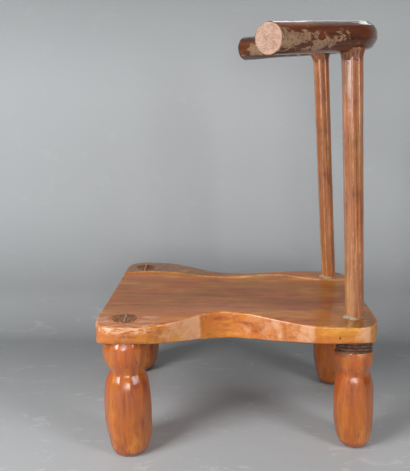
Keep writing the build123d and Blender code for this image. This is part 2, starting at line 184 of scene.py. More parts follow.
class WoodColours(bpy.types.PropertyGroup):
    seat_pale: colour("Seat pale", "Light figure of the seat", (0.74, 0.29, 0.032))
    seat_mid: colour("Seat middle", "Usual colour of the seat", (0.56, 0.180, 0.015))
    seat_dark: colour("Seat dark", "Dark figure of the seat", (0.34, 0.075, 0.010))
    # Painted sheen: a pale, pinkish colour laid on some adze cuts in place of the lamps' reflection in
    # their lacquer.
    seat_painted_sheen: colour("Faded lacquer", "Adze cuts whose lacquer has gone pale", (0.80, 0.42, 0.23))
    # Multiplied over the seat's top: a browner tone from sitting, and painted shade that keeps all of the
    # top darker than the sides.
    sitting_and_top_shade_tint: colour("Sitting tint", "Browner tone that sitting gave the hollow", (0.55, 0.50, 0.80))
    leg_pale: colour("Leg pale", "Light figure of the legs", (0.61, 0.170, 0.010))
    leg_mid: colour("Leg middle", "Usual colour of the legs", (0.45, 0.096, 0.003))
    leg_dark: colour("Leg dark", "Dark figure of the legs", (0.25, 0.036, 0.003))
    post_pale: colour("Post pale", "Light streaks of the posts", (0.64, 0.30, 0.12))
    post_mid: colour("Post middle", "Usual colour of the posts", (0.37, 0.125, 0.036))
    post_dark: colour("Post dark", "Dark figure of the posts", (0.10, 0.022, 0.012))
    rail_pale: colour("Rail pale", "Light figure of the rail's patina", (0.22, 0.066, 0.018))
    rail_mid: colour("Rail middle", "Usual colour of the rail", (0.115, 0.028, 0.007))
    rail_dark: colour("Rail dark", "Dark figure of the rail's patina", (0.022, 0.006, 0.003))
    rail_worn: colour("Rail worn", "Wood that shows where the patina is worn through", (0.37, 0.245, 0.150))
    sawn: colour("Sawn wood", "Cut ends of the rail", (0.57, 0.385, 0.30))
    sawn_dark: colour("Sawn wood, dark", "Pores and saw marks of the cut ends", (0.36, 0.19, 0.12))
    broken: colour("Broken grain", "Crumbled end grain of the tenons", (0.34, 0.165, 0.085))
    broken_dark: colour("Broken grain, dark", "Cracks of the end grain", (0.07, 0.028, 0.014))
    char: colour("Packing", "Charred packing", (0.07, 0.030, 0.017))
    putty: colour("Filler", "Dry filler", (0.34, 0.29, 0.18))
    # Also laid as a painted highlight along the upper edge of the step into the hollow.
    worn_wood: colour("Worn edge", "Wood on rubbed edges", (0.82, 0.44, 0.22))
    whittled: colour("Whittled wood", "Bare wood of the trimmed front corner", (0.80, 0.50, 0.32))
    # Darker, greyer tone multiplied onto the seat's right margin and its left rear corner.
    grime: colour("Grime", "Wax and dirt that darken the corners", (0.42, 0.44, 0.50))


class StageSizes(bpy.types.PropertyGroup):
    camera_place: place("Camera", "Where the camera stands", (1.0826, -0.0369, 0.6041))
    camera_pitch: tilt("Pitch", "How far the camera looks down", 13.83)
    camera_yaw: tilt("Yaw", "How far the camera looks to the chair's front or back", -0.88)
    camera_roll: tilt("Roll", "How far the camera leans to its side", 0.20)
    lens: amount("Lens", "Focal length in millimetres", 47.39)
    floor_end: length("Floor end", "Where the backdrop starts to rise, behind the chair", 300)
    sweep_radius: length("Sweep radius", "Of the curve from floor to backdrop", 100)
    paper: colour("Paper", "Floor and backdrop", (0.415, 0.432, 0.443))
    # Painted shade of the paper where it bends; the paper is painted lighter from there towards the camera
    # and up the backdrop.
    bend_shade_level: amount("Bend level", "Tone of the paper where it bends", 0.66)


class ChairSettings(bpy.types.PropertyGroup):
    plank: PointerProperty(type=PlankSizes)
    front_legs: PointerProperty(type=LegSizes)
    rear_legs: PointerProperty(type=LegSizes)
    joints: PointerProperty(type=JointSizes)
    posts: PointerProperty(type=PostSizes)
    rail: PointerProperty(type=RailSizes)
    fillers: PointerProperty(type=FillerSizes)
    colours: PointerProperty(type=WoodColours)
    stage: PointerProperty(type=StageSizes)


def settings():
    return bpy.context.scene.birthing_chair


# ================================================================ node trees
class Wiring:
    """Places nodes in a tree, each with its settings and what feeds it in one call."""

    def __init__(self, tree):
        self.tree = tree

    def feed(self, socket, source):
        """Link a socket to the output that feeds it, or set its value."""
        if isinstance(source, bpy.types.NodeSocket):
            self.tree.links.new(source, socket)
        else:
            socket.default_value = source

    def put(self, kind, feeds=None, **choices):
        node = self.tree.nodes.new(kind)
        for name, value in choices.items():
            setattr(node, name, value)
        for key, source in (feeds or {}).items():
            self.feed(node.inputs[key], source)
        return node

    def math(self, operation, *values, clamp=False):
        feeds = dict(enumerate(values))
        return self.put("ShaderNodeMath", feeds, operation=operation, use_clamp=clamp).outputs[0]

    def plus(self, first, second, clamp=False):
        return self.math("ADD", first, second, clamp=clamp)

    def minus(self, first, second):
        return self.math("SUBTRACT", first, second)

    def times(self, first, second, clamp=False):
        return self.math("MULTIPLY", first, second, clamp=clamp)

    def line(self, value, slope, start):
        """value times slope, plus start."""
        return self.math("MULTIPLY_ADD", value, slope, start)

    def over(self, first, second):
        return self.math("DIVIDE", first, second)

    def vector(self, operation, *values):
        node = self.put("ShaderNodeVectorMath", dict(enumerate(values)), operation=operation)
        return node.outputs["Value" if operation == "DOT_PRODUCT" else "Vector"]

    def scaled(self, vector, factor):
        node = self.put("ShaderNodeVectorMath", {"Vector": vector, "Scale": factor}, operation="SCALE")
        return node.outputs["Vector"]

    def combine(self, x, y, z):
        return self.put("ShaderNodeCombineXYZ", {0: x, 1: y, 2: z}).outputs[0]

    def separate(self, vector, axis):
        """The x, y or z of a vector, by its number."""
        return self.put("ShaderNodeSeparateXYZ", {0: vector}).outputs[axis]

    def attribute(self, name, output="Fac"):
        return self.put("ShaderNodeAttribute", attribute_name=name).outputs[output]

    def object_place(self):
        return self.put("ShaderNodeTexCoord").outputs["Object"]

    def noise(self, vector, scale, detail, roughness=0.5, seed=0.0, distortion=0.0, stretch=None):
        """Noise from 0 to 1. A stretch multiplies each axis first."""
        if stretch:
            vector = self.vector("MULTIPLY", vector, stretch)
        feeds = {
            "Vector": vector,
            "W": seed,
            "Scale": scale,
            "Detail": detail,
            "Roughness": roughness,
            "Distortion": distortion,
        }
        return self.put("ShaderNodeTexNoise", feeds, noise_dimensions="4D").outputs["Fac"]

    def ramp(self, value, low, high):
        """0 below low, 1 above high, and smooth between them."""
        feeds = {"Value": value, "From Min": low, "From Max": high}
        return self.put("ShaderNodeMapRange", feeds, interpolation_type="SMOOTHSTEP").outputs["Result"]

    def mix(self, factor, first, second, blend="MIX"):
        """A colour from first to second."""
        node = self.put("ShaderNodeMix", data_type="RGBA", blend_type=blend)
        sockets = {s.identifier: s for s in node.inputs}
        for key, source in (("Factor_Float", factor), ("A_Color", first), ("B_Color", second)):
            self.feed(sockets[key], source)
        return {s.identifier: s for s in node.outputs}["Result_Color"]

    def tinted(self, colour, tint):
        """A colour multiplied by another."""
        return self.mix(1.0, colour, tint, "MULTIPLY")


def new_group(name, kind, inputs, outputs):
    """An empty node group with its sockets, and its wiring."""
    tree = bpy.data.node_groups.new(name, kind)
    for socket_name, socket_type, default in inputs:
        socket = tree.interface.new_socket(socket_name, in_out="INPUT", socket_type=socket_type)
        if default is not None:
            socket.default_value = default
    for socket_name, socket_type in outputs:
        tree.interface.new_socket(socket_name, in_out="OUTPUT", socket_type=socket_type)
    wiring = Wiring(tree)
    return tree, wiring, wiring.put("NodeGroupInput").outputs


GEOMETRY, NUMBER, WHOLE, ARROW, COLOUR, MATERIAL = (
    "NodeSocketGeometry",
    "NodeSocketFloat",
    "NodeSocketInt",
    "NodeSocketVector",
    "NodeSocketColor",
    "NodeSocketMaterial",
)


def run_tree(name, source, tree, values):
    """Run a geometry tree on a source object, and turn the result into a plain mesh object."""
    modifier = source.modifiers.new(tree.name, "NODES")
    modifier.node_group = tree
    for item in tree.interface.items_tree:
        if item.item_type == "SOCKET" and item.in_out == "INPUT" and item.name in values:
            modifier[item.identifier] = values[item.name]
    depsgraph = bpy.context.evaluated_depsgraph_get()
    mesh = bpy.data.meshes.new_from_object(source.evaluated_get(depsgraph), depsgraph=depsgraph)
    source.modifiers.remove(modifier)
    bpy.data.objects.remove(source)
    piece = bpy.data.objects.new(name, mesh)
    bpy.context.scene.collection.objects.link(piece)
    return piece


def end_tree(w, geometry, material):
    """The last nodes of a geometry tree: plain geometry with its material."""
    plain = w.put("GeometryNodeRealizeInstances", {"Geometry": geometry}).outputs[0]
    feeds = {"Geometry": plain, "Material": material}
    w.put("NodeGroupOutput", {"Geometry": w.put("GeometryNodeSetMaterial", feeds).outputs[0]})


# ================================================================ meshes
def read_all(items, field):
    """A field of three numbers from every item, as an array."""
    values = np.empty(len(items) * 3)
    items.foreach_get(field, values)
    return values.reshape(-1, 3)


def vertex_places(mesh):
    return read_all(mesh.vertices, "co")


def set_vertex_places(mesh, places):
    mesh.vertices.foreach_set("co", np.asarray(places, float).ravel())
    mesh.update()


def vertex_normals(mesh):
    return read_all(mesh.vertex_normals, "vector")


def read_values(mesh, name):
    values = np.empty(len(mesh.vertices))
    mesh.attributes[name].data.foreach_get("value", values)
    return values


def write_values(mesh, name, values):
    """Store a number, or a vector, at each vertex."""
    values = np.asarray(values, float)
    kind, field = ("FLOAT", "value") if values.ndim == 1 else ("FLOAT_VECTOR", "vector")
    attribute = mesh.attributes.get(name) or mesh.attributes.new(name, kind, "POINT")
    attribute.data.foreach_set(field, values.ravel())


def mesh_object(name, vertices, faces, material=None):
    mesh = bpy.data.meshes.new(name)
    mesh.from_pydata([tuple(v) for v in vertices], [], [tuple(f) for f in faces])
    mesh.update()
    piece = bpy.data.objects.new(name, mesh)
    bpy.context.scene.collection.objects.link(piece)
    if material:
        mesh.materials.append(material)
    return piece


def weld(mesh, outward=False):
    """Join points that coincide, and drop what has no area."""
    sheet = bmesh.new()
    sheet.from_mesh(mesh)
    bmesh.ops.remove_doubles(sheet, verts=sheet.verts, dist=WELD)
    bmesh.ops.dissolve_degenerate(sheet, dist=WELD, edges=sheet.edges)
    if outward:
        bmesh.ops.recalc_face_normals(sheet, faces=sheet.faces)
    sheet.to_mesh(mesh)
    sheet.free()
    mesh.shade_smooth()


def ring_faces(rings, sides):
    """Quads between rings of points, where each ring is closed."""
    step = np.arange(sides)
    following = (step + 1) % sides
    return [
        face
        for low in range(0, (rings - 1) * sides, sides)
        for face in zip(low + step, low + following, low + sides + following, low + sides + step)
    ]


def ring_solid(name, rings, material):
    """A closed solid from an array of rings, first ring to last, whose end rings are closed by a fan."""
    count, sides = rings.shape[:2]
    vertices = np.vstack([rings.reshape(-1, 3), rings[0].mean(0), rings[-1].mean(0)])
    first_pole, last_pole = count * sides, count * sides + 1
    faces = ring_faces(count, sides)
    for side in range(sides):
        following = (side + 1) % sides
        faces.append((first_pole, following, side))
        faces.append((last_pole, (count - 1) * sides + side, (count - 1) * sides + following))
    piece = mesh_object(name, vertices, faces, material)
    weld(piece.data, outward=True)
    return piece


RIPPLE_WAVES = 7
RIPPLE_PITCHES = (0.7, 1.6)    # shares of the wavelength asked for
RIPPLE_PEAK = 1.6


def ripple(places, wavelength, seed):
    """Smooth made-up unevenness from -1 to 1: a few plane waves with seeded directions."""
    chance = np.random.default_rng(seed)
    total = np.zeros(len(places))
    for _ in range(RIPPLE_WAVES):
        direction = chance.normal(size=3)
        direction /= np.linalg.norm(direction)
        pitch = chance.uniform(*RIPPLE_PITCHES) * 2 * math.pi / wavelength
        total += np.sin(places @ direction * pitch + chance.uniform(0, 2 * math.pi))
    return total / (RIPPLE_PEAK * math.sqrt(RIPPLE_WAVES))


def turns(sides):
    """Evenly spaced angles of a full turn."""
    return np.linspace(0, 2 * math.pi, sides, endpoint=False)


def unit_circle(sides):
    return np.c_[np.cos(turns(sides)), np.sin(turns(sides))]


def laid_on(points, surface):
    """Points of the floor lifted onto a surface."""
    return np.c_[points, surface(points[:, 0], points[:, 1])]


def level(values):
    """A column of noughts as long as the values, for the height of what lies flat."""
    return 0 * values


def share_of(values, start, end):
    """How far values have come from start to end, as a share from 0 to 1."""
    return np.clip((values - start) / (end - start), 0, 1)


# Bend of the surface per metre at which an edge starts to be worn or a concave corner to be darkened, and
# how much more makes it fully so.
RUBBED_BEND = (18, 70)
DARK_CORNER_BEND = (12, 60)


def mark_wear(mesh):
    """Store how sharply each vertex stands out of the surface round it, or lies in a corner of it."""
    edges = np.empty(len(mesh.edges) * 2, int)
    mesh.edges.foreach_get("vertices", edges)
    start, end = edges.reshape(-1, 2).T
    places, normals = vertex_places(mesh), vertex_normals(mesh)
    count = np.zeros(len(places))
    bend = np.zeros(len(places))
    for here, there in ((start, end), (end, start)):
        arm = places[there] - places[here]
        square = np.maximum((arm**2).sum(1), 1e-12)
        np.add.at(bend, here, -(arm * normals[here]).sum(1) / square)
        np.add.at(count, here, 1)
    bend /= np.maximum(count, 1)
    for _ in range(2):
        total = bend.copy()
        np.add.at(total, start, bend[end])
        np.add.at(total, end, bend[start])
        bend = total / (count + 1)
    write_values(mesh, "ridge", np.clip((bend - RUBBED_BEND[0]) / RUBBED_BEND[1], 0, 1))
    write_values(mesh, "corner", np.clip((-bend - DARK_CORNER_BEND[0]) / DARK_CORNER_BEND[1], 0, 1))


def finish_piece(piece, node):
    """Mark the wear, and let the piece stand for its CAD node."""
    mark_wear(piece.data)
    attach(piece, "root")
    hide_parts(node)


# ================================================================ curves
def bezier(start, first, second, end, count):
    """Points of a cubic curve, without its start."""
    t = np.linspace(0, 1, count + 1)[1:, None]
    ends = [np.array(p, float) for p in (start, first, second, end)]
    return (
        ends[0] * (1 - t) ** 3
        + ends[1] * 3 * t * (1 - t) ** 2
        + ends[2] * 3 * t**2 * (1 - t)
        + ends[3] * t**3
    )


def run_lengths(points):
    """How far along a line of points each of them lies."""
    return np.concatenate([[0], np.cumsum(np.linalg.norm(np.diff(points, axis=0), axis=1))])


def evenly_spaced(points, pitch, closed=False):
    """Points at an even pitch along a line of points, without its last one where the line is closed."""
    lengths = run_lengths(points)
    places = round(lengths[-1] / pitch) + (not closed)
    even = np.linspace(0, lengths[-1], places, endpoint=not closed)
    return np.stack([np.interp(even, lengths, column) for column in points.T], axis=1)


def beyond(start, end, reach):
    """The point that lies past end, on the line from start to end."""
    return end + (end - start).normalized() * reach


def rounded_path(points, radius, step):
    """A line of straight runs joined by arcs, as evenly spaced points."""
    path = [points[0]]
    for before, corner, after in zip(points, points[1:], points[2:]):
        incoming, outgoing = (corner - before).normalized(), (after - corner).normalized()
        turn = incoming.angle(outgoing)
        inward = (outgoing - incoming).normalized()
        onward = (incoming + outgoing).normalized()
        centre = corner + inward * (radius / math.cos(turn / 2))
        for share in np.linspace(0, 1, max(2, round(radius * turn / step))):
            part = (share - 0.5) * turn
            path.append(centre - inward * (radius * math.cos(part)) + onward * (radius * math.sin(part)))
    path.append(points[-1])
    return evenly_spaced(np.array(path), step)


# ================================================================ round pieces: rings swept along a line
class Stations:
    """The rings of a round piece: where each lies, its radius, and how it is worked."""

    def __init__(self):
        self.rows = []

    def add(self, at, reach, worked=1.0, crumbled=0.0, coped=0.0, slant=(0, 0, 0)):
        self.rows.append((tuple(at), reach, worked, crumbled, coped, tuple(slant)))

    def line(self, name):
        """A row of edges with the rings' values stored at its points."""
        mesh = bpy.data.meshes.new(name)
        count = len(self.rows)
        mesh.from_pydata([row[0] for row in self.rows], [(i, i + 1) for i in range(count - 1)], [])
        for column, key in enumerate(("reach", "worked", "crumbled", "coped"), 1):
            write_values(mesh, key, [row[column] for row in self.rows])
        write_values(mesh, "slant", [row[5] for row in self.rows])
        source = bpy.data.objects.new(name, mesh)
        bpy.context.scene.collection.objects.link(source)
        return source


def flat_end(stations, at, direction, rim, pitch, opening, round_off=0.0, **values):
    """Rings over a flat end, from its centre out to the rim, or from the rim in to its centre."""
    count = max(3, round(rim / pitch))
    reaches = [rim * share / count for share in range(1, count)] + [rim - round_off]
    reaches = [min(reach, rim - round_off) for reach in reaches]
    if not opening:
        reaches.reverse()
    for number, reach in enumerate(reaches):
        shift = number - (len(reaches) - 1 if opening else 0)
        stations.add(at + direction * (shift * FLAT_END_STEP), reach, **values)


def swept_round_tree():
    """Sweeps a ring along a line of stations, cuts facets round it, and roughens it."""
    inputs = [
        ("Geometry", GEOMETRY, None),
        ("Sides", WHOLE, 96),
        ("Facets", NUMBER, 9.0),
        ("Facet Depth", NUMBER, 0.8),
        ("Facet Turn", NUMBER, 0.0),
        ("Facet Wander", NUMBER, 0.5),
        ("Facet Length", NUMBER, 0.12),
        ("Lump Height", NUMBER, 0.0006),
        ("Lump Length", NUMBER, 0.05),
        ("Crumble", NUMBER, 0.0),
        ("Crumb Size", NUMBER, 0.004),
        ("Seed", NUMBER, 0.0),
        ("Foot", ARROW, None),
        ("Lean", ARROW, None),
        ("Material", MATERIAL, None),
    ]
    tree, w, given = new_group("swept round", "GeometryNodeTree", inputs, [("Geometry", GEOMETRY)])

    def stored(name, kind="FLOAT"):
        return w.put("GeometryNodeInputNamedAttribute", {"Name": name}, data_type=kind).outputs["Attribute"]

    def store(geometry, name, value, kind="FLOAT"):
        feeds = {"Geometry": geometry, "Name": name, "Value": value}
        return w.put("GeometryNodeStoreNamedAttribute", feeds, data_type=kind, domain="POINT").outputs[0]

    position = w.put("GeometryNodeInputPosition").outputs[0]
    spline = w.put("GeometryNodeSplineParameter").outputs
    line = w.put("GeometryNodeMeshToCurve", {"Mesh": given["Geometry"]}).outputs[0]
    line = store(line, "centre", position, "FLOAT_VECTOR")
    line = store(line, "along", w.put("GeometryNodeInputTangent").outputs[0], "FLOAT_VECTOR")
    line = store(line, "run", spline["Length"])
    feeds = {"Resolution": given["Sides"], "Radius": 1.0}
    ring = w.put("GeometryNodeCurvePrimitiveCircle", feeds).outputs[0]
    ring = store(ring, "turn", spline["Factor"])
    feeds = {"Curve": line, "Profile Curve": ring, "Scale": stored("reach"), "Fill Caps": True}
    body = w.put("GeometryNodeCurveToMesh", feeds).outputs[0]

    turn = stored("turn")
    angle = w.times(turn, 2 * math.pi)
    cosine, sine = w.math("COSINE", angle), w.math("SINE", angle)
    worked = stored("worked")

    def round_noise(lengthwise, around, detail):
        """Noise that closes round the ring, from -0.5 to 0.5."""
        at = w.combine(
            w.times(cosine, around),
            w.times(sine, around),
            w.over(stored("run"), lengthwise),
        )
        return w.minus(w.noise(at, 1.0, detail, seed=given["Seed"]), 0.5)

    drift = w.times(round_noise(given["Facet Length"], 0.9, 1.0), given["Facet Wander"])
    number = w.plus(w.line(turn, given["Facets"], given["Facet Turn"]), drift)
    across = w.minus(w.math("FRACT", number), 0.5)
    slice_angle = w.over(2 * math.pi, given["Facets"])
    chord = w.math("COSINE", w.times(slice_angle, 0.5))
    flatness = w.over(chord, w.math("COSINE", w.times(across, slice_angle)))
    cut = w.times(w.minus(flatness, 1.0), given["Facet Depth"])
    shape = w.line(cut, worked, 1.0)

    offset = w.vector("SUBTRACT", position, stored("centre", "FLOAT_VECTOR"))
    lump = w.times(round_noise(given["Lump Length"], 1.3, 3.0), given["Lump Height"])
    lump = w.times(w.times(lump, 2.0), worked)
    side = w.vector("NORMALIZE", offset)
    crumb_scale = w.over(1.0, given["Crumb Size"])
    cells = w.put("ShaderNodeTexVoronoi", {"Vector": position, "Scale": crumb_scale}).outputs["Distance"]
    grit = w.minus(w.noise(position, crumb_scale, 3.0, 0.6, given["Seed"]), 0.45)
    crumb = w.minus(grit, w.times(cells, 0.7))
    crumb = w.times(w.times(crumb, given["Crumble"]), stored("crumbled"))
    slanted = w.vector("DOT_PRODUCT", offset, stored("slant", "FLOAT_VECTOR"))
    along = stored("along", "FLOAT_VECTOR")

    carved = w.vector("ADD", stored("centre", "FLOAT_VECTOR"), w.scaled(offset, shape))
    carved = w.vector("ADD", carved, w.scaled(side, lump))
    carved = w.vector("ADD", carved, w.scaled(along, w.plus(crumb, slanted)))
    height = w.separate(carved, 2)
    leaned = w.vector("ADD", carved, w.vector("ADD", given["Foot"], w.scaled(given["Lean"], height)))
    reach = stored("reach")
    grain = w.combine(stored("run"), w.times(cosine, reach), w.times(sine, reach))
    body = store(body, "grain", grain, "FLOAT_VECTOR")
    body = w.put("GeometryNodeSetPosition", {"Geometry": body, "Position": leaned}).outputs[0]
    end_tree(w, body, given["Material"])
    return tree


SCRATCH_VALUES = ("centre", "along", "run", "turn", "reach", "worked", "coped", "slant")


def bevel_lip(places, coped, ceiling, axis, height, depth):
    """Draw the coped rings in towards the axis near the ceiling, most of all on the outer side."""
    clearance = np.clip((ceiling - places[coped, 2]) / height, 0, 1)
    arm = places[coped, :2] - axis(places[coped, 2])
    reach = np.maximum(np.linalg.norm(arm, axis=1), WELD)
    outer = np.sign(axis(0.0)[0]) * arm[:, 0] / reach
    inward = depth * (1 - clearance) * (0.3 + 0.7 * np.clip(outer * 1.3, 0, 1))
    places[coped, :2] -= arm * (inward / reach.max())[:, None]


def swept_piece(name, stations, node, values, limit=None, lip=None):
    """A round piece from its stations, with its coped rings laid against a limit."""
    tree = bpy.data.node_groups.get("swept round") or swept_round_tree()
    piece = run_tree(name, stations.line(name), tree, values)
    mesh = piece.data
    if limit:
        places = vertex_places(mesh)
        coped = read_values(mesh, "coped") > 0.5
        ceiling = limit(places[coped, 0], places[coped, 1])
        places[coped, 2] = np.minimum(places[coped, 2], ceiling)
        places[:, 2] = np.maximum(places[:, 2], 0)
        if lip:
            bevel_lip(places, coped, ceiling, *lip)
        set_vertex_places(mesh, places)
    for key in SCRATCH_VALUES:
        if key in mesh.attributes:
            mesh.attributes.remove(mesh.attributes[key])
    weld(mesh, outward=True)
    finish_piece(piece, node)
    return piece


# ================================================================ the plank
RIM_TOLERANCE = 0.02 * MM      # how near the rim's height a point of the CAD node counts as part of the rim
OUTLINE_PITCH = 2.2 * MM
LEFT_SIDE = 90 * MM            # left of this, the outline is the plank's left side
SIDE_RIPPLE = (0.14 * MM, 12 * MM)
TOP_RIPPLES = ((0.22 * MM, 26 * MM, 5), (0.1 * MM, 9 * MM, 6))
TOP_SINK = 0.3 * MM            # how far the ripples lie below the seat's top, so that none stands above it
CUT_BLEND = 3 * MM             # over which one adze cut's lean and painted sheen give way to the next one's


def underside(x, y, deeper=0.0):
    """Height of the plank's underside, or of the same log with a larger radius."""
    plank = settings().plank
    radius = plank.log_radius + deeper
    low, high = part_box("seat_plank")
    slope = plank.rear_thinning / (high.y - low.y)
    centre = SEAT_TOP - plank.thickness + plank.log_radius
    return centre + np.asarray(y) * slope - np.sqrt(radius**2 - np.asarray(x) ** 2)


def plank_outline():
    """The plank's outline, evenly spaced and anticlockwise, from the rim of the CAD node."""
    places = vertex_places(frame["nodes"]["seat_plank"].data)
    rim_height = SEAT_TOP - settings().plank.rim_drop
    rim = places[np.abs(places[:, 2] - rim_height) < RIM_TOLERANCE][:, :2]
    rim = rim[np.argsort(np.arctan2(rim[:, 1], rim[:, 0]))]
    rim = rim[np.linalg.norm(rim - np.roll(rim, 1, axis=0), axis=1) > WELD]
    outline = evenly_spaced(np.vstack([rim, rim[:1]]), OUTLINE_PITCH, closed=True)
    for _ in range(3):
        outline = (np.roll(outline, 1, axis=0) + 2 * outline + np.roll(outline, -1, axis=0)) / 4
    return outline


def outward_of(outline):
    tangent = np.roll(outline, -2, axis=0) - np.roll(outline, 2, axis=0)
    normal = np.stack([tangent[:, 1], -tangent[:, 0]], axis=1)
    return normal / np.linalg.norm(normal, axis=1)[:, None]


# The hollow's edge on each side: places along the plank, as shares of its length from the front, and how
# far from the centre line the hollow reaches there.
HOLLOW_EDGE = ((0.0, 110 * MM), (0.136, 119 * MM), (0.46, 86 * MM), (0.707, 104 * MM), (0.877, 76 * MM))


def hollow_reach(y):
    """How far from the centre line the hollow reaches, a smooth curve through HOLLOW_EDGE."""
    low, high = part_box("seat_plank")
    knots = np.array([low.y + share * (high.y - low.y) for share, _ in HOLLOW_EDGE])
    reach = np.array([r for _, r in HOLLOW_EDGE])
    slopes = np.gradient(reach, knots)
    slopes[0] = slopes[-1] = 0
    y = np.clip(y, knots[0], knots[-1])
    span = np.clip(np.searchsorted(knots, y) - 1, 0, len(knots) - 2)
    width = knots[span + 1] - knots[span]
    t = (y - knots[span]) / width
    return (
        (2 * t**3 - 3 * t**2 + 1) * reach[span]
        + (t**3 - 2 * t**2 + t) * width * slopes[span]
        + (3 * t**2 - 2 * t**3) * reach[span + 1]
        + (t**3 - t**2) * width * slopes[span + 1]
    )


def top_height(x, y):
    """Height of the plank's upper surface: margins, the step down into the hollow, and its dish."""
    plank = settings().plank
    inside = hollow_reach(y) - np.abs(x)
    step = np.clip(inside / plank.step_width, 0, 1)
    share = np.clip(inside / hollow_reach(y), 0, 1)
    ends = np.clip(1 - (np.abs(y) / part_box("seat_plank")[1].y) ** 4, 0, 1)
    places = np.stack([x, y * 0.35, level(x)], axis=1)    # the marks are drawn out along the plank
    wave = sum(height * ripple(places, wavelength, seed) for height, wavelength, seed in TOP_RIPPLES)
    dished = plank.dish * (1 - (1 - share) ** 2) * ends
    return SEAT_TOP - plank.hollow_depth * step - dished + wave - TOP_SINK


# The adze cuts on the plank's left side, from front to back: where each ends, as a place along the plank,
# how far its ridge stands out, how it leans outward at the top, and how much painted sheen it carries.
LEFT_CUTS = (
    (-151 * MM, 0.9 * MM, 0.00, 0.15),
    (-117 * MM, -0.5 * MM, -0.03, 0.30),
    (-58 * MM, 0.9 * MM, 0.07, 1.00),
    (-18 * MM, -0.3 * MM, -0.04, 0.00),
    (25 * MM, 0.7 * MM, 0.02, 0.35),
    (74 * MM, -0.6 * MM, 0.03, 0.60),
    (123 * MM, 0.8 * MM, 0.06, 0.85),
    (186 * MM, -0.2 * MM, -0.05, 0.05),
    (211 * MM, 0.8 * MM, 0.07, 0.90),
)
SHEEN_AFTER = 0.4               # share of a cut's painted sheen that it still has where it starts


def cut_values(outline):
    """How far the side stands out at each point of the outline, how it leans, and how much painted sheen it
    carries.
    """
    lengths = run_lengths(outline)
    around = lengths[-1]
    left = np.flatnonzero(outline[:, 0] > LEFT_SIDE)
    left = left[np.argsort(outline[left, 1])]
    ends = [np.interp(cut[0], outline[left, 1], lengths[left]) for cut in LEFT_CUTS]
    knots, leans, sheens = [], [], []
    for here, cut, following in zip(ends, LEFT_CUTS, LEFT_CUTS[1:] + LEFT_CUTS[:1]):
        knots += [here - CUT_BLEND, here + CUT_BLEND]
        leans += [cut[2], following[2]]
        sheens += [cut[3], following[3] * SHEEN_AFTER]
    ridge = np.interp(lengths, ends, [cut[1] for cut in LEFT_CUTS], period=around)
    lean, sheen = [np.interp(lengths, knots, each, period=around) for each in (leans, sheens)]
    return ridge, lean, sheen


def circle_points(centre, radius, sides):
    return np.array(centre[:2]) + radius * unit_circle(sides)


def inside_loop(points, loop):
    """Which points lie inside a closed loop."""
    inside = np.zeros(len(points), bool)
    x, y = points.T
    for (x0, y0), (x1, y1) in zip(loop, np.roll(loop, -1, axis=0)):
        if y0 == y1:
            continue
        crossed = (y0 > y) != (y1 > y)
        inside ^= crossed & (x < (x1 - x0) * (y - y0) / (y1 - y0) + x0)
    return inside


def far_from(points, others, distance):
    """Which points keep a distance from all the others, looked at in batches to spare memory."""
    batch = 1500
    keep = np.ones(len(points), bool)
    for first in range(0, len(points), batch):
        part = points[first : first + batch]
        gaps = ((part[:, None, :] - others[None, :, :]) ** 2).sum(2).min(1)
        keep[first : first + batch] = gaps > distance**2
    return keep


GRID_JITTER = 0.12             # of the pitch
GRID_CLEARANCE = 0.55          # of the pitch, from rims, holes and lines


def filled_face(rim, holes, lines, pitch, seed):
    """Triangles inside a rim and outside the holes, with edges along the given lines."""
    low, high = rim.min(0), rim.max(0)
    chance = np.random.default_rng(seed)
    rows = np.arange(low[1], high[1], pitch * 0.866)
    columns = np.arange(low[0], high[0], pitch)
    grid = np.array([(x + pitch / 2 * (k % 2), y) for k, y in enumerate(rows) for x in columns])
    grid += chance.uniform(-GRID_JITTER, GRID_JITTER, grid.shape) * pitch
    fixed = np.vstack([rim, *holes, *lines])
    grid = grid[inside_loop(grid, rim)]
    grid = grid[far_from(grid, fixed, pitch * GRID_CLEARANCE)]
    for hole in holes:
        grid = grid[~inside_loop(grid, hole)]
    edges, start = [], 0
    for loop in (rim, *holes):
        edges += [(start + i, start + (i + 1) % len(loop)) for i in range(len(loop))]
        start += len(loop)
    for line in lines:
        edges += [(start + i, start + i + 1) for i in range(len(line) - 1)]
        start += len(line)
    points = [Vector(p) for p in np.vstack([fixed, grid])]
    found = geometry.delaunay_2d_cdt(points, edges, [], 0, 1e-6)
    places = np.array([tuple(v) for v in found[0]])
    triangles = np.array(found[2])
    middles = places[triangles].mean(1)
    keep = inside_loop(middles, rim)
    for hole in holes:
        keep &= ~inside_loop(middles, hole)
    return places, triangles[keep]


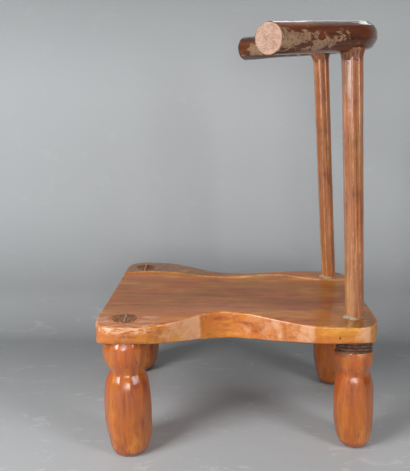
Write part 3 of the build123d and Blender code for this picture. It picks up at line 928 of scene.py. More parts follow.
class CHAIR_OT_plank(bpy.types.Operator):
    """Make the seat plank: a split log with an hourglass outline, adzed sides and a hollowed top"""

    bl_idname = "birthing_chair.plank"
    bl_label = "Seat plank"

    def execute(self, context):
        plank = settings().plank
        outline = plank_outline()
        ridge, lean, sheen = cut_values(outline)
        ear = np.array(leg_line(FRONT_LEGS[0])[1][:2])
        rings = self.side_rings(outline, ridge, lean, self.rounding(outline, ear))
        top_rim, foot_rim = rings[-1][:, :2], rings[0][:, :2]
        rings[-1][:, 2] = top_height(top_rim[:, 0], top_rim[:, 1])
        rings[0][:, 2] = underside(foot_rim[:, 0], foot_rim[:, 1])

        top_holes = self.holes(SEAT_TOP)
        foot_holes = self.holes(SEAT_TOP - plank.thickness)
        vertices, faces = [], []

        def join(points, triangles):
            start = sum(len(part) for part in vertices)
            vertices.append(points)
            faces.extend(tuple(int(start + corner) for corner in face) for face in triangles)

        lines = self.hollow_lines(outline, top_rim)
        flat, triangles = filled_face(top_rim, top_holes, lines, plank.mesh_pitch, seed=1)
        join(laid_on(flat, top_height), triangles)
        flat, triangles = filled_face(foot_rim, foot_holes, [], plank.mesh_pitch * 1.3, seed=2)
        scallops = 0.5 * MM * (ripple(np.c_[flat * (1, 0.6), level(flat[:, 0])], 38 * MM, seed=9) - 0.4)
        inner = far_from(flat, foot_rim, 4 * MM)
        height = underside(flat[:, 0], flat[:, 1]) + scallops * inner
        join(np.c_[flat, height], triangles[:, ::-1])
        join(np.vstack(rings), ring_faces(len(rings), len(outline)))
        for upper, lower in zip(top_holes, foot_holes):
            wall = np.vstack([laid_on(lower, underside), laid_on(upper, top_height)])
            join(wall, [face[::-1] for face in ring_faces(2, len(upper))])

        piece = mesh_object("seat_plank_carved", np.vstack(vertices), faces, wood("seat_wood"))
        weld(piece.data, outward=True)
        self.mark(piece, outline, sheen, ear)
        return {"FINISHED"}

    def rounding(self, outline, ear):
        """How round the top edge is: worn rounder beside the front left tenon, and uneven all round."""
        plank = settings().plank
        near_ear = np.exp(-((np.linalg.norm(outline - ear, axis=1) / (58 * MM)) ** 4))
        on_left = 1 / (1 + np.exp(-(outline[:, 0] - ear[0] + 4 * MM) / (6 * MM)))
        rounding = plank.edge_round + (plank.ear_round - plank.edge_round) * near_ear * on_left
        return rounding * (1 + 0.25 * ripple(np.c_[outline, level(outline[:, 0])], 40 * MM, seed=3))

    def side_rings(self, outline, ridge, lean, rounding):
        """Rings round the side from the bottom edge to the top one, with the adze cuts in them."""
        bottom_round = settings().plank.foot_round
        normal = outward_of(outline)
        edge = outline - normal * rounding[:, None]
        rim_height = top_height(edge[:, 0], edge[:, 1])
        foot_height = underside(outline[:, 0], outline[:, 1])
        middle_height = (rim_height + foot_height) / 2
        low, high = foot_height + bottom_round, rim_height - rounding
        depth, wavelength = SIDE_RIPPLE

        def ring(inset, height):
            standing = ridge + lean * (height - middle_height) - inset
            shape = np.c_[outline + normal * standing[:, None], height]
            uneven = depth * ripple(shape, wavelength, seed=8)
            return shape + np.c_[normal * uneven[:, None], level(height)]

        rings = []
        for bend in np.linspace(0, math.pi / 2, 4):
            inset = bottom_round * (1 - math.sin(bend))
            rings.append(ring(inset, foot_height + bottom_round * (1 - math.cos(bend))))
        for share in np.linspace(0, 1, 13)[1:-1]:
            rings.append(ring(0, low + (high - low) * share))
        for bend in np.linspace(0, math.pi / 2, 6):
            rings.append(ring(rounding * (1 - math.cos(bend)), high + rounding * math.sin(bend)))
        return rings

    def hollow_lines(self, outline, top_rim):
        """The upper and lower edges of the step into the hollow, on both sides, short of the rim."""
        along = np.arange(outline[:, 1].min(), outline[:, 1].max(), 2.0 * MM)
        lines = []
        for side in (-1, 1):
            for depth in (0, settings().plank.step_width):
                line = np.c_[side * (hollow_reach(along) - depth), along]
                kept = line[inside_loop(line, top_rim)]
                lines.append(kept[far_from(kept, top_rim, 1.2 * MM)])
        return lines

    def holes(self, height):
        """Where the front legs' tenons and the posts pass through, at a height."""
        joints = settings().joints
        bores = [(leg_line(leg), joints.tenon_radius, 48) for leg in FRONT_LEGS]
        bores += [(post_line(post), settings().posts.tenon_radius, 40) for post in POSTS]
        return [
            circle_points(at_height(*line, height), radius + joints.gap, sides)
            for line, radius, sides in bores
        ]

    def mark(self, piece, outline, sheen, ear):
        """Store where the plank carries painted sheen, a sitting tone with painted shade over its top, a
        darker, greyer margin, whittling, and wear with a painted highlight along the step.
        """
        mesh = piece.data
        places = vertex_places(mesh)
        x, y, z = places.T
        seat_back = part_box("seat_plank")[1].y
        inside = hollow_reach(y) - np.abs(x)
        bearing = np.arctan2(outline[:, 1], outline[:, 0])
        on_side = np.clip((0.75 - np.abs(vertex_normals(mesh)[:, 2])) / 0.2, 0, 1)
        on_top = 1 - on_side

        # Painted sheen on the side's adze cuts, strongest near the top.
        painted_sheen = np.interp(np.arctan2(y, x), bearing, sheen, period=2 * math.pi)
        drop = np.clip((SEAT_TOP - z) / settings().plank.thickness, 0, 1)
        write_values(mesh, "painted_sheen", painted_sheen * on_side * (1.1 - 0.45 * drop))

        # A sitting tone that deepens into the hollow and towards the back, over painted shade on all of the
        # top.
        sitting_and_top_shade = 0.38 + 0.5 * np.clip(inside / (45 * MM), 0, 1) + 0.14 * np.clip(y / seat_back, -0.5, 1)
        write_values(mesh, "sitting_and_top_shade", np.clip(sitting_and_top_shade, 0, 1) * on_top)

        # A darker, greyer tone on the right margin outside the hollow and round the left rear corner.
        right_margin = np.clip(-inside / (6 * MM), 0, 1) * (x < 0) * np.clip(0.75 - y / seat_back, 0.35, 1)
        rear_corner = np.clip(1 - np.hypot(x - 0.17, y - seat_back) / (75 * MM), 0, 1)
        write_values(mesh, "grime", np.clip(np.maximum(right_margin, rear_corner * 1.3), 0, 1) * on_top)

        from_ear = np.linalg.norm(places[:, :2] - ear, axis=1)
        round_ear = share_of(from_ear, 25 * MM, 31 * MM) * share_of(from_ear, 62 * MM, 50 * MM)
        on_edge = share_of(z - SEAT_TOP, 1 * MM, -1 * MM) * share_of(z - SEAT_TOP, -13 * MM, -9 * MM)
        write_values(mesh, "whittled", on_edge * round_ear * (x > ear[0] - 12 * MM))
        write_values(mesh, "grain", places[:, [1, 0, 2]])

        finish_piece(piece, "seat_plank")
        ridge = read_values(mesh, "ridge")
        # Worn side edges, and a painted highlight along the upper edge of the step into the hollow.
        worn = np.maximum(ridge * on_side, self.step_highlight(places, inside))
        write_values(mesh, "ridge", np.maximum(worn, ridge * 0.6))

    def step_highlight(self, places, inside):
        """A painted highlight along the upper edge of the step into the hollow, here and there."""
        lip = np.exp(-((inside / (1.5 * MM)) ** 2))
        along = np.c_[places[:, 1], np.sign(places[:, 0]) * 0.3, level(places[:, 1])]
        return lip * np.clip(0.62 + 0.75 * ripple(along, 70 * MM, seed=15), 0, 1)


# ================================================================ legs, posts and rail
FRONT_LEGS = ("front_left_leg", "front_right_leg")
REAR_LEGS = ("rear_left_leg", "rear_right_leg")
POSTS = ("left_post", "right_post")
LEG_TOP_DEPTH = 25 * MM        # a leg's top, let into the plank, below the seat
POST_END_DEPTH = 18 * MM       # a post's lower end, above the underside of the plank
BROAD_PITCH, MEDIUM_PITCH, FINE_PITCH = 5 * MM, 4 * MM, 1 * MM
SAWN_PITCH = 1.6 * MM


def at_height(start, end, height):
    """The point of a line that lies at a height above the floor."""
    return start + (end - start) * ((height - start.z) / (end.z - start.z))


def post_line(post):
    """The centre line of a post, from the seat's top to the rail."""
    side = post.removesuffix("_post")
    return on_seat(f"{post}_base_filler"), Vector(getattr(settings().posts, f"{side}_head"))


def post_radius(side, end):
    return getattr(settings().posts, f"{side}_{end}_radius")


def leg_line(leg):
    """The centre line of a leg, from its sole to the seat's top."""
    foot = sole_place(leg.replace("_leg", "_sole"))
    if leg in REAR_LEGS:
        return foot, post_line(leg.removeprefix("rear_").replace("_leg", "_post"))[0]
    return foot, on_seat(f"{leg.removesuffix('_leg')}_tenon_wedge")


def leg_profile(leg, steps=15):
    """Radius and height pairs up a club leg, from the rim of its sole to its flare."""
    belly = (leg.barrel_radius, leg.barrel_height)
    throat = (leg.neck_radius, leg.neck_height)
    shoulder = leg.neck_height - leg.barrel_height
    swell = leg.flare_height - leg.neck_height
    curves = (
        (
            (leg.sole_radius, 0),
            (leg.barrel_radius * 0.92, leg.barrel_height * 0.04),
            (leg.barrel_radius, leg.barrel_height * 0.55),
            belly,
        ),
        (
            belly,
            (leg.barrel_radius, leg.barrel_height + shoulder * 0.85),
            (leg.neck_radius + 0.7 * MM, leg.neck_height - shoulder * 0.12),
            throat,
        ),
        (
            throat,
            (leg.neck_radius, leg.neck_height + swell * 0.26),
            (leg.flare_radius, leg.flare_height - swell * 0.55),
            (leg.flare_radius, leg.flare_height),
        ),
    )
    return np.vstack([bezier(*curve, steps) for curve in curves])


def swell_at(share):
    """A smooth rise to 1 at the middle of a stretch, and back to 0 at its ends."""
    return math.sin(math.pi * min(max(share, 0.0), 1.0)) ** 2


def flare_lean(leg, height):
    """How far a ring of the flare lies forward of the leg's own line."""
    flare_length = SEAT_TOP - LEG_TOP_DEPTH - leg.neck_height
    return leg.flare_shift * swell_at((height - leg.neck_height) / flare_length)


def leg_stations(leg, tenon):
    """A leg's rings: its sole, its club-shaped body up into the plank, and a tenon or a plain top."""
    joints = settings().joints
    stations = Stations()
    rounded = {"round_off": 1.2 * MM, "worked": 0.3}
    flat_end(stations, Vector(), UP, leg.sole_radius, BROAD_PITCH, opening=True, **rounded)
    stations.add(UP * 0.5 * MM, leg.sole_radius - 0.3 * MM, worked=0.6)
    for reach, height in leg_profile(leg):
        belly = leg.belly_shift * swell_at(height / (leg.barrel_height * 0.76))
        stations.add(UP * height + Vector((0, belly - flare_lean(leg, height), 0)), reach)
    top = SEAT_TOP - LEG_TOP_DEPTH
    for height in np.linspace(leg.flare_height, top, 9)[1:]:
        share = (height - leg.flare_height) / (top - leg.flare_height)
        centre = UP * height - Vector((0, flare_lean(leg, height), 0))
        stations.add(centre, leg.flare_radius - 0.6 * MM * share, coped=1.0)
    if not tenon:
        closing = UP * (top + 0.2 * MM)
        flat_end(stations, closing, UP, leg.flare_radius, BROAD_PITCH, opening=False, coped=1.0)
        return stations
    end = SEAT_TOP + joints.tenon_stand
    radius = joints.tenon_radius
    broken = {"round_off": 0.5 * MM, "worked": 0.0, "crumbled": 1.0}
    stations.add(UP * (top + 0.2 * MM), radius, worked=0.0, coped=1.0)
    stations.add(UP * (top + 0.4 * MM), radius, worked=0.0)
    stations.add(UP * (end - 0.8 * MM), radius, worked=0.0, crumbled=0.2)
    flat_end(stations, UP * end, UP, radius, FINE_PITCH, opening=False, **broken)
    return stations


# How each leg's cuts differ: facets round it turned by a share of one, and the seed of its unevenness.
LEG_CUTS = {
    "front_left_leg": (0.35, 3.0),
    "front_right_leg": (0.10, 11.0),
    "rear_left_leg": (0.55, 21.0),
    "rear_right_leg": (0.80, 35.0),
}


class CHAIR_OT_legs(bpy.types.Operator):
    """Make the four club legs, the front ones with through tenons whose end grain is broken"""

    bl_idname = "birthing_chair.legs"
    bl_label = "Legs"

    def execute(self, context):
        joints = settings().joints
        for name, (turn, seed) in LEG_CUTS.items():
            front = name in FRONT_LEGS
            leg = settings().front_legs if front else settings().rear_legs
            foot, top = leg_line(name)
            rise = top.z - foot.z
            slope = [(top[i] - foot[i]) / rise for i in (0, 1)]
            deeper = joints.shim_thickness if name == "rear_left_leg" else 0.0
            values = {
                "Sides": leg.sides,
                "Facets": float(leg.facets),
                "Facet Depth": leg.facet_depth,
                "Facet Turn": turn,
                "Facet Wander": 1.1,
                "Facet Length": 90 * MM,
                "Lump Height": 0.7 * MM,
                "Lump Length": 45 * MM,
                "Crumble": joints.tenon_crumble,
                "Crumb Size": 3.4 * MM,
                "Seed": seed,
                "Foot": foot,
                "Lean": (top - foot) / rise - UP,
                "Material": wood("leg_wood"),
            }

            def limit(x, y):
                return underside(x, y, deeper) - joints.gap

            def axis(height):
                return np.stack([foot[i] + slope[i] * (height - foot.z) for i in (0, 1)], axis=-1)

            lip = (axis, leg.lip_height, leg.lip_depth)
            stations = leg_stations(leg, front)
            mesh = swept_piece(f"{name}_turned", stations, name, values, limit, lip).data
            crumbled = read_values(mesh, "crumbled")
            write_values(mesh, "end_grain", crumbled)
            if name == "front_right_leg":    # its broken end grain is caked and dark, so it is darkened like a concave corner
                write_values(mesh, "corner", np.maximum(read_values(mesh, "corner"), crumbled))
        return {"FINISHED"}


def rail_path():
    """The rail's centre line, from the right sawn end to the left one."""
    rail = settings().rail
    tips = {"right": Vector(rail.right_tip), "left": Vector(rail.left_tip)}
    bends = [beyond(tip, post_line(f"{side}_post")[1], rail.bend_setback) for side, tip in tips.items()]
    return rounded_path([tips["right"], *bends, tips["left"]], rail.bend_radius, 3 * MM)


def rail_underside(x, y):
    """Height of the rail's underside over places of the floor."""
    path = rail_path()
    x, y = np.atleast_1d(x), np.atleast_1d(y)
    gaps = np.hypot(x[:, None] - path[None, :, 0], y[:, None] - path[None, :, 1])
    nearest = gaps.argmin(1)
    reach = settings().rail.radius
    aside = np.minimum(gaps[np.arange(len(x)), nearest], reach)
    return path[nearest, 2] - np.sqrt(reach**2 - aside**2)


class CHAIR_OT_posts(bpy.types.Operator):
    """Make the two faceted posts that rise out of the seat and carry the rail"""

    bl_idname = "birthing_chair.posts"
    bl_label = "Posts"

    def execute(self, context):
        sizes, gap = settings().posts, settings().joints.gap
        low = SEAT_TOP - settings().plank.thickness + POST_END_DEPTH
        lower_end = {"opening": True, "worked": 0.0, "coped": -1.0}
        upper_end = {"opening": False, "coped": 1.0}
        for name, turn, seed in (("left_post", 0.35, 5.0), ("right_post", 0.5, 17.0)):
            foot, head = post_line(name)
            lean = (head - foot) / (head.z - foot.z) - UP
            side = name.removesuffix("_post")
            foot_radius, head_radius = post_radius(side, "foot"), post_radius(side, "head")
            stations = Stations()
            flat_end(stations, UP * low, UP, sizes.tenon_radius, MEDIUM_PITCH, **lower_end)
            stations.add(UP * (SEAT_TOP - 0.4 * MM), sizes.tenon_radius, worked=0.0)
            top = head.z - 6 * MM
            for share in np.linspace(0, 1, 150):
                reach = foot_radius + (head_radius - foot_radius) * share
                stations.add(UP * (SEAT_TOP + share * (top - SEAT_TOP)), reach, coped=float(share > 0.9))
            flat_end(stations, UP * (top + 0.1 * MM), UP, head_radius, MEDIUM_PITCH, **upper_end)
            values = {
                "Sides": 72,
                "Facets": float(sizes.facets),
                "Facet Depth": 0.85,
                "Facet Turn": turn,
                "Facet Wander": 0.35,
                "Facet Length": 350 * MM,
                "Lump Height": 0.45 * MM,
                "Lump Length": 60 * MM,
                "Seed": seed,
                "Foot": foot - lean * foot.z - UP * foot.z,
                "Lean": lean,
                "Material": wood("post_wood"),
            }

            def limit(x, y):
                return rail_underside(x, y) - gap

            swept_piece(f"{name}_faceted", stations, name, values, limit)
        return {"FINISHED"}


class CHAIR_OT_rail(bpy.types.Operator):
    """Make the bent branch that is the back rail and both arms, sawn off at its ends"""

    bl_idname = "birthing_chair.rail"
    bl_label = "Arm rail"

    def execute(self, context):
        values = {
            "Sides": 96,
            "Facets": 8.0,
            "Facet Depth": 0.45,
            "Facet Turn": 0.2,
            "Facet Wander": 1.6,
            "Facet Length": 160 * MM,
            "Lump Height": 1.0 * MM,
            "Lump Length": 70 * MM,
            "Crumble": 0.3 * MM,
            "Crumb Size": 2.2 * MM,
            "Seed": 8.0,
            "Foot": (0, 0, 0),
            "Lean": (0, 0, 0),
            "Material": wood("rail_wood"),
        }
        mesh = swept_piece("arm_rail_branch", self.stations(), "arm_rail", values).data
        write_values(mesh, "end_grain", read_values(mesh, "crumbled"))
        self.rub(mesh)
        return {"FINISHED"}

    def stations(self):
        """The rail's rings, which lean over to the skewed cut at the left end."""
        rail = settings().rail
        path = [Vector(p) for p in rail_path()]
        start, end = (path[1] - path[0]).normalized(), (path[-1] - path[-2]).normalized()
        skew = end.cross(UP).normalized() * math.tan(rail.left_skew)
        skewed_length = 34 * MM
        sawn = {"round_off": rail.rim_round, "worked": 0.0, "crumbled": 1.0}
        stations = Stations()

        def rim(at, inward, **values):
            """The two rings of a worn rim, from the sawn end inward."""
            return (
                ((at + inward * 0.5 * MM, rail.radius - 0.6 * MM), {"worked": 0.6, **values}),
                ((at + inward * rail.rim_round, rail.radius), {"worked": 0.9, **values}),
            )

        flat_end(stations, path[0], start, rail.radius, SAWN_PITCH, opening=True, **sawn)
        for places, choices in rim(path[0], start):
            stations.add(*places, **choices)
        for point in path[1:-1]:
            share = 1 - min(1.0, (path[-1] - point).length / skewed_length)
            stations.add(point, rail.radius, slant=skew * share**2)
        for places, choices in reversed(rim(path[-1], -end, slant=skew)):
            stations.add(*places, **choices)
        flat_end(stations, path[-1], end, rail.radius, SAWN_PITCH, opening=False, slant=skew, **sawn)
        return stations

    def rub(self, mesh):
        """Mark where hands wore the patina through: outside both arms, and in the middle of the back; and
        lay a painted highlight along the top of the left arm.
        """
        rail = settings().rail
        x, y, _ = vertex_places(mesh).T
        aside, backward, upward = vertex_normals(mesh).T

        def window(value, low, high, soft):
            return np.clip((value - low) / soft, 0, 1) * np.clip((high - value) / soft, 0, 1)

        def from_tip(tip, post):
            return (y - tip[1]) / (post_line(post)[1].y - tip[1])

        left_share = from_tip(rail.left_tip, "left_post")
        right_share = from_tip(rail.right_tip, "right_post")
        below = window(upward, -0.95, 0.62, 0.75)
        island = window(left_share - 0.25 * upward, 0.36, 0.86, 0.22) * window(upward, -0.7, 0.5, 0.45)
        left = below * np.clip(aside * 4, 0, 1) * window(left_share, -0.25, 1.05, 0.4)
        left = left * (1 - 0.75 * island)
        # Painted highlight: the worn-wood colour along the top of the left arm stands in for the bright
        # line of light on its crest.
        crest = window(upward, 0.90, 1.1, 0.08) * window(left_share, 0.1, 1.0, 0.1) * (x > 0)
        right = below * (aside < 0) * window(right_share, 0.05, 0.85, 0.2)
        back = np.clip(backward * 1.2 - 0.2, 0, 1) * np.clip(1 - np.abs(x) / (90 * MM), 0, 1)
        patches = (left, crest * 0.75, right * 0.8, back * 0.8)
        write_values(mesh, "worn_and_highlit", np.max(patches, axis=0))


# ================================================================ packing, fillers, wedges and pegs
class CHAIR_OT_packing(bpy.types.Operator):
    """Make the rough packing between the rear left leg and the plank"""

    bl_idname = "birthing_chair.packing"
    bl_label = "Packing"

    def execute(self, context):
        joints = settings().joints
        centre = at_height(*leg_line("rear_left_leg"), SEAT_TOP - settings().plank.thickness)
        circle = unit_circle(120)

        def ring(reach, share):
            """A ring between the leg's top and the plank's underside."""
            x, y = centre.x + reach * circle[:, 0], centre.y + reach * circle[:, 1]
            upper = underside(x, y) - joints.gap
            lower = underside(x, y, joints.shim_thickness)
            return np.c_[x, y, lower + (upper - lower) * share]

        rings = []
        for share in np.linspace(0, 1, 15):
            grooves = 0.9 * MM * np.sign(math.sin(share * 22)) + 0.5 * MM * math.sin(share * 9) - 1.0 * MM
            place_now = np.c_[circle, np.full(len(circle), share * 0.4)]
            coarse, fine = ripple(place_now, 0.5, seed=4), ripple(place_now, 0.12, seed=7)
            ragged = 1.1 * MM * coarse + 0.6 * MM * fine
            rings.append(ring(joints.shim_radius + ragged + grooves, share))
        closing = (0.8, 0.55, 0.3, 0.1)
        below = [ring(joints.shim_radius * inward, 0) for inward in reversed(closing)]
        above = [ring(joints.shim_radius * inward, 1) for inward in closing]
        rings = [*below, *rings[:-1], *above, rings[-1]]
        piece = ring_solid("rear_left_leg_shim_rough", np.array(rings), wood("packing_wood"))
        write_values(piece.data, "grain", vertex_places(piece.data))
        finish_piece(piece, "rear_left_leg_shim")
        return {"FINISHED"}


def putty_tree():
    """Scatters crumbs over a bead of filler and joins them to it."""
    inputs = [
        ("Geometry", GEOMETRY, None),
        ("Density", NUMBER, 40000.0),
        ("Crumb Size", NUMBER, 0.0008),
        ("Seed", WHOLE, 0),
        ("Material", MATERIAL, None),
    ]
    tree, w, given = new_group("putty crumbs", "GeometryNodeTree", inputs, [("Geometry", GEOMETRY)])
    feeds = {"Mesh": given["Geometry"], "Density": given["Density"], "Seed": given["Seed"]}
    points = w.put("GeometryNodeDistributePointsOnFaces", feeds).outputs
    feeds = {"Radius": given["Crumb Size"], "Subdivisions": 1}
    crumb = w.put("GeometryNodeMeshIcoSphere", feeds).outputs["Mesh"]
    size = w.put("FunctionNodeRandomValue", data_type="FLOAT")
    choices = {"Min": 0.35, "Max": 1.5, "Seed": given["Seed"]}
    for socket in size.inputs:
        if socket.enabled and socket.name in choices:
            w.feed(socket, choices[socket.name])
    scale = [s for s in size.outputs if s.enabled][0]
    feeds = {
        "Points": points["Points"],
        "Instance": crumb,
        "Rotation": points["Rotation"],
        "Scale": w.combine(scale, scale, w.times(scale, 0.6)),
    }
    crumbs = w.put("GeometryNodeInstanceOnPoints", feeds).outputs[0]
    joined = w.put("GeometryNodeJoinGeometry")
    w.feed(joined.inputs[0], crumbs)
    w.feed(joined.inputs[0], given["Geometry"])
    end_tree(w, joined.outputs[0], given["Material"])
    return tree


def putty_piece(name, rings, node, seed, density, stained):
    """A closed bead of filler with crumbs on it, and how far the wood's stain covers it."""
    bead = ring_solid(f"{name}_bead", np.array(rings), putty_material())
    tree = bpy.data.node_groups.get("putty crumbs") or putty_tree()
    values = {"Density": density, "Crumb Size": 0.7 * MM, "Seed": seed, "Material": putty_material()}
    piece = run_tree(name, bead, tree, values)
    mesh = piece.data
    mesh.shade_smooth()
    write_values(mesh, "stained", np.full(len(mesh.vertices), stained))
    write_values(mesh, "grain", vertex_places(mesh)[:, [2, 0, 1]])
    finish_piece(piece, node)


class CHAIR_OT_fillers(bpy.types.Operator):
    """Make the beads of filler at the posts' feet and under the rail"""

    bl_idname = "birthing_chair.fillers"
    bl_label = "Fillers"

    def execute(self, context):
        circle = np.c_[unit_circle(90), np.zeros(90)]
        for turn, side in enumerate(("left", "right")):
            coarse, fine = ripple(circle, 1.1, seed=20 + turn), ripple(circle, 0.35, seed=30 + turn)
            ragged = 1 + 0.5 * coarse + 0.25 * fine
            self.base_bead(side, turn, circle, ragged)
            self.rail_bead(side, turn, circle, ragged)
        return {"FINISHED"}

    def base_bead(self, side, turn, circle, ragged):
        """The low smear round a post's foot, widest in front of the post."""
        sizes = settings().fillers
        foot = np.array(post_line(f"{side}_post")[0])
        radius = post_radius(side, "foot")
        # Most of it was smeared over the front and the outer side, and little was left behind the post.
        toward = circle @ np.array((0.55, -0.83, 0) if side == "left" else (0.8, -0.6, 0))
        smear = np.clip(ragged, 0.15, 1.4) * (0.30 + 0.85 * np.clip(toward, 0, 1) ** 1.5)
        rings = []
        for share in np.linspace(0, 1, 9):
            reach = radius * 0.93 + sizes.base_width * (1 - share) ** 1.3 * smear
            at = circle * reach[:, None] + foot
            surface = top_height(at[:, 0], at[:, 1]) if share < 0.99 else SEAT_TOP
            rise = sizes.base_height * np.clip(smear, 0.25, 1.1) * share**0.7
            at[:, 2] = np.maximum(surface - 0.3 * MM, SEAT_TOP - 4 * MM) + rise
            rings.append(at)
        inner = circle * (radius * 0.86) + foot
        inner[:, 2] = rings[-1][:, 2] - 0.3 * MM
        low = inner.copy()
        low[:, 2] = rings[0][:, 2]
        name = f"{side}_post_base"
        putty_piece(f"{name}_putty", [*rings, inner, low], f"{name}_filler", 3 + turn, 60000.0, 0.0)

    def rail_bead(self, side, turn, circle, ragged):
        """The collar that flares a post's head into the rail, drawn out towards the front."""
        sizes = settings().fillers
        foot, head = post_line(f"{side}_post")
        radius = post_radius(side, "head")
        lean = np.array((head - foot) / (head.z - foot.z))
        frontward = np.clip(circle @ np.array((0, -1, 0)), 0, 1) ** 2
        start = head.z - settings().rail.radius - sizes.rail_height
        rings = []
        for share in np.linspace(0, 1, 12):
            flare = sizes.rail_width * share**1.8 * np.clip(ragged, 0.3, 1.3) * (0.75 + 1.1 * frontward)
            reach = radius * 0.96 + 0.4 * MM * share + flare
            height = start + (sizes.rail_height + 6 * MM) * share + 1.5 * MM * (ragged - 1) * (1 - share)
            at = circle * reach[:, None] + (np.array(foot) + np.outer(height - foot.z, lean))
            at[:, 2] = np.minimum(height, rail_underside(at[:, 0], at[:, 1]) + 0.4 * MM)
            rings.append(at)
        inner = circle * (radius * 0.9) + np.array(head)
        inner[:, 2] = rail_underside(inner[:, 0], inner[:, 1])
        low = circle * (radius * 0.88) + np.array(at_height(foot, head, start))
        name = f"{side}_rail"
        putty_piece(f"{name}_putty", [*rings, inner, low], f"{name}_filler", 7 + turn, 9000.0, 1.0)


class CHAIR_OT_pins(bpy.types.Operator):
    """Make the wedges in the front tenons and the locking pegs in the plank's sides"""

    bl_idname = "birthing_chair.pins"
    bl_label = "Wedges and pegs"

    def execute(self, context):
        for turn, leg in enumerate(FRONT_LEGS):
            self.wedge(leg.removesuffix("_leg") + "_tenon_wedge", leg_line(leg)[1], turn)
        for leg in (*FRONT_LEGS, *REAR_LEGS):
            self.peg(leg.removesuffix("_leg") + "_locking_peg")
        return {"FINISHED"}

    def wedge(self, node, top, turn):
        """A sliver of bare wood across the tenon, with a split and worn upper end."""
        joints = settings().joints
        reach = joints.tenon_radius * 0.93
        # A long rounded rectangle in plan, thinner towards its tip.
        plan = unit_circle(48)
        plan = np.sign(plan) * np.abs(plan) ** 0.35
        flat = np.zeros(len(plan))
        bend = 0.9 * MM * ripple(np.c_[plan[:, 0], flat, flat], 1.4, seed=40 + turn)
        rings = []
        for share in np.linspace(0, 1, 9):
            half = joints.wedge_thickness / 2 * (0.3 + 0.7 * share)
            height = top.z - joints.wedge_depth * (1 - share)
            x, y = top.x + reach * plan[:, 0], top.y + half * plan[:, 1] + bend
            rings.append(np.c_[x, y, flat + height])
        crest = 0.8 * MM + 0.7 * MM * ripple(np.c_[plan * (3, 1), flat], 0.9, seed=50 + turn)
        upper, middle = rings[-1], np.array(top[:2])
        for inward in (0.97, 0.7, 0.3):
            shape = middle + (upper[:, :2] - middle) * (1, inward)
            rings.append(np.c_[shape, top.z + crest * (1.15 - 0.3 * inward)])
        piece = ring_solid(f"{node}_sliver", np.array(rings), wood("wedge_wood"))
        write_values(piece.data, "grain", vertex_places(piece.data)[:, [2, 0, 1]])
        finish_piece(piece, node)

    def peg(self, node):
        """A thin peg, a little proud of the plank's side, with a chewed end."""
        places = vertex_places(frame["nodes"][node].data)
        by_reach = places[np.argsort(-np.abs(places[:, 0]))]
        outer = by_reach[:8].mean(0)
        inner = places[np.argsort(np.abs(places[:, 0]))[:8]].mean(0)
        axis = Vector(outer - inner).normalized()
        aside = axis.cross(UP).normalized()
        above = aside.cross(axis)
        circle = unit_circle(24) @ np.array([aside, above])
        uneven = 1 + 0.12 * ripple(circle, 0.9, seed=60)
        start, end = Vector(inner), Vector(outer) + axis * 0.5 * MM * (1 if "left" in node else 0.6)
        rings = []
        # Shares of the way along it and of its radius: the last one sinks back for the chewed end.
        profile = ((0, 0.6), (0.04, 1), (0.5, 1), (0.96, 1), (0.99, 0.92), (1, 0.6), (0.995, 0.25))
        for share, reach in profile:
            radius = settings().joints.peg_radius * reach * uneven
            rings.append(np.array(start.lerp(end, share)) + circle * radius[:, None])
        piece = ring_solid(f"{node}_end", np.array(rings), wood("peg_wood"))
        write_values(piece.data, "grain", vertex_places(piece.data))
        finish_piece(piece, node)


# ================================================================ materials
WHITE = (1, 1, 1, 1)


def rgba(value):
    return (*value, 1.0)


def figure_group():
    """Wood figure: broad bands, fibres and pores along the grain."""
    inputs = [
        ("Grain", ARROW, None),
        ("Pale", COLOUR, None),
        ("Middle", COLOUR, None),
        ("Dark", COLOUR, None),
        ("Band Length", NUMBER, 0.25),
        ("Band Width", NUMBER, 0.012),
        ("Contrast", NUMBER, 0.7),
        ("Seed", NUMBER, 0.0),
    ]
    outputs = [("Color", COLOUR), ("Height", NUMBER), ("Gloss", NUMBER)]
    tree, w, given = new_group("wood figure", "ShaderNodeTree", inputs, outputs)
    along = w.over(1.0, given["Band Length"])
    across = w.over(1.0, given["Band Width"])
    stretched = w.vector("MULTIPLY", given["Grain"], w.combine(along, across, across))

    def grain_noise(lengthwise, crosswise, detail, roughness=0.55):
        """Noise whose marks are so many to the metre, along the grain and across it."""
        scaled = w.vector("MULTIPLY", given["Grain"], (lengthwise, crosswise, crosswise))
        return w.noise(scaled, 1.0, detail, roughness, given["Seed"])

    bands = w.noise(stretched, 1.0, 4.0, 0.6, given["Seed"], 0.8)
    blotches = grain_noise(14, 26, 3.0)
    streaks = grain_noise(16, 240, 3.0)
    fibres = grain_noise(30, 650, 3.0, 0.6)
    pores = w.ramp(grain_noise(100, 1500, 1.0), 0.60, 0.72)
    figure = w.plus(w.times(bands, 0.55), w.times(blotches, 0.45))
    light = w.times(w.ramp(figure, 0.49, 0.63), given["Contrast"])
    thin_streaks = w.times(w.ramp(streaks, 0.54, 0.70), 0.7)
    dark = w.math("MAXIMUM", w.ramp(figure, 0.49, 0.36), thin_streaks)
    colour_now = w.mix(light, given["Middle"], given["Pale"])
    colour_now = w.mix(w.times(dark, given["Contrast"]), colour_now, given["Dark"])
    drift = grain_noise(7, 19, 2.0, 0.5)
    warmth = w.mix(w.ramp(drift, 0.38, 0.62), (1.06, 0.86, 0.80, 1), (0.98, 1.10, 0.95, 1))
    colour_now = w.mix(w.times(given["Contrast"], 0.8), colour_now, w.tinted(colour_now, warmth))
    shade = w.times(w.line(fibres, 0.7, 0.65), w.line(pores, -0.4, 1.0))
    colour_now = w.tinted(colour_now, w.combine(shade, shade, shade))
    height = w.minus(w.times(fibres, 0.6), pores)
    gloss = w.plus(w.times(blotches, 0.6), w.times(fibres, 0.3))
    w.put("NodeGroupOutput", {"Color": colour_now, "Height": height, "Gloss": gloss})
    return tree


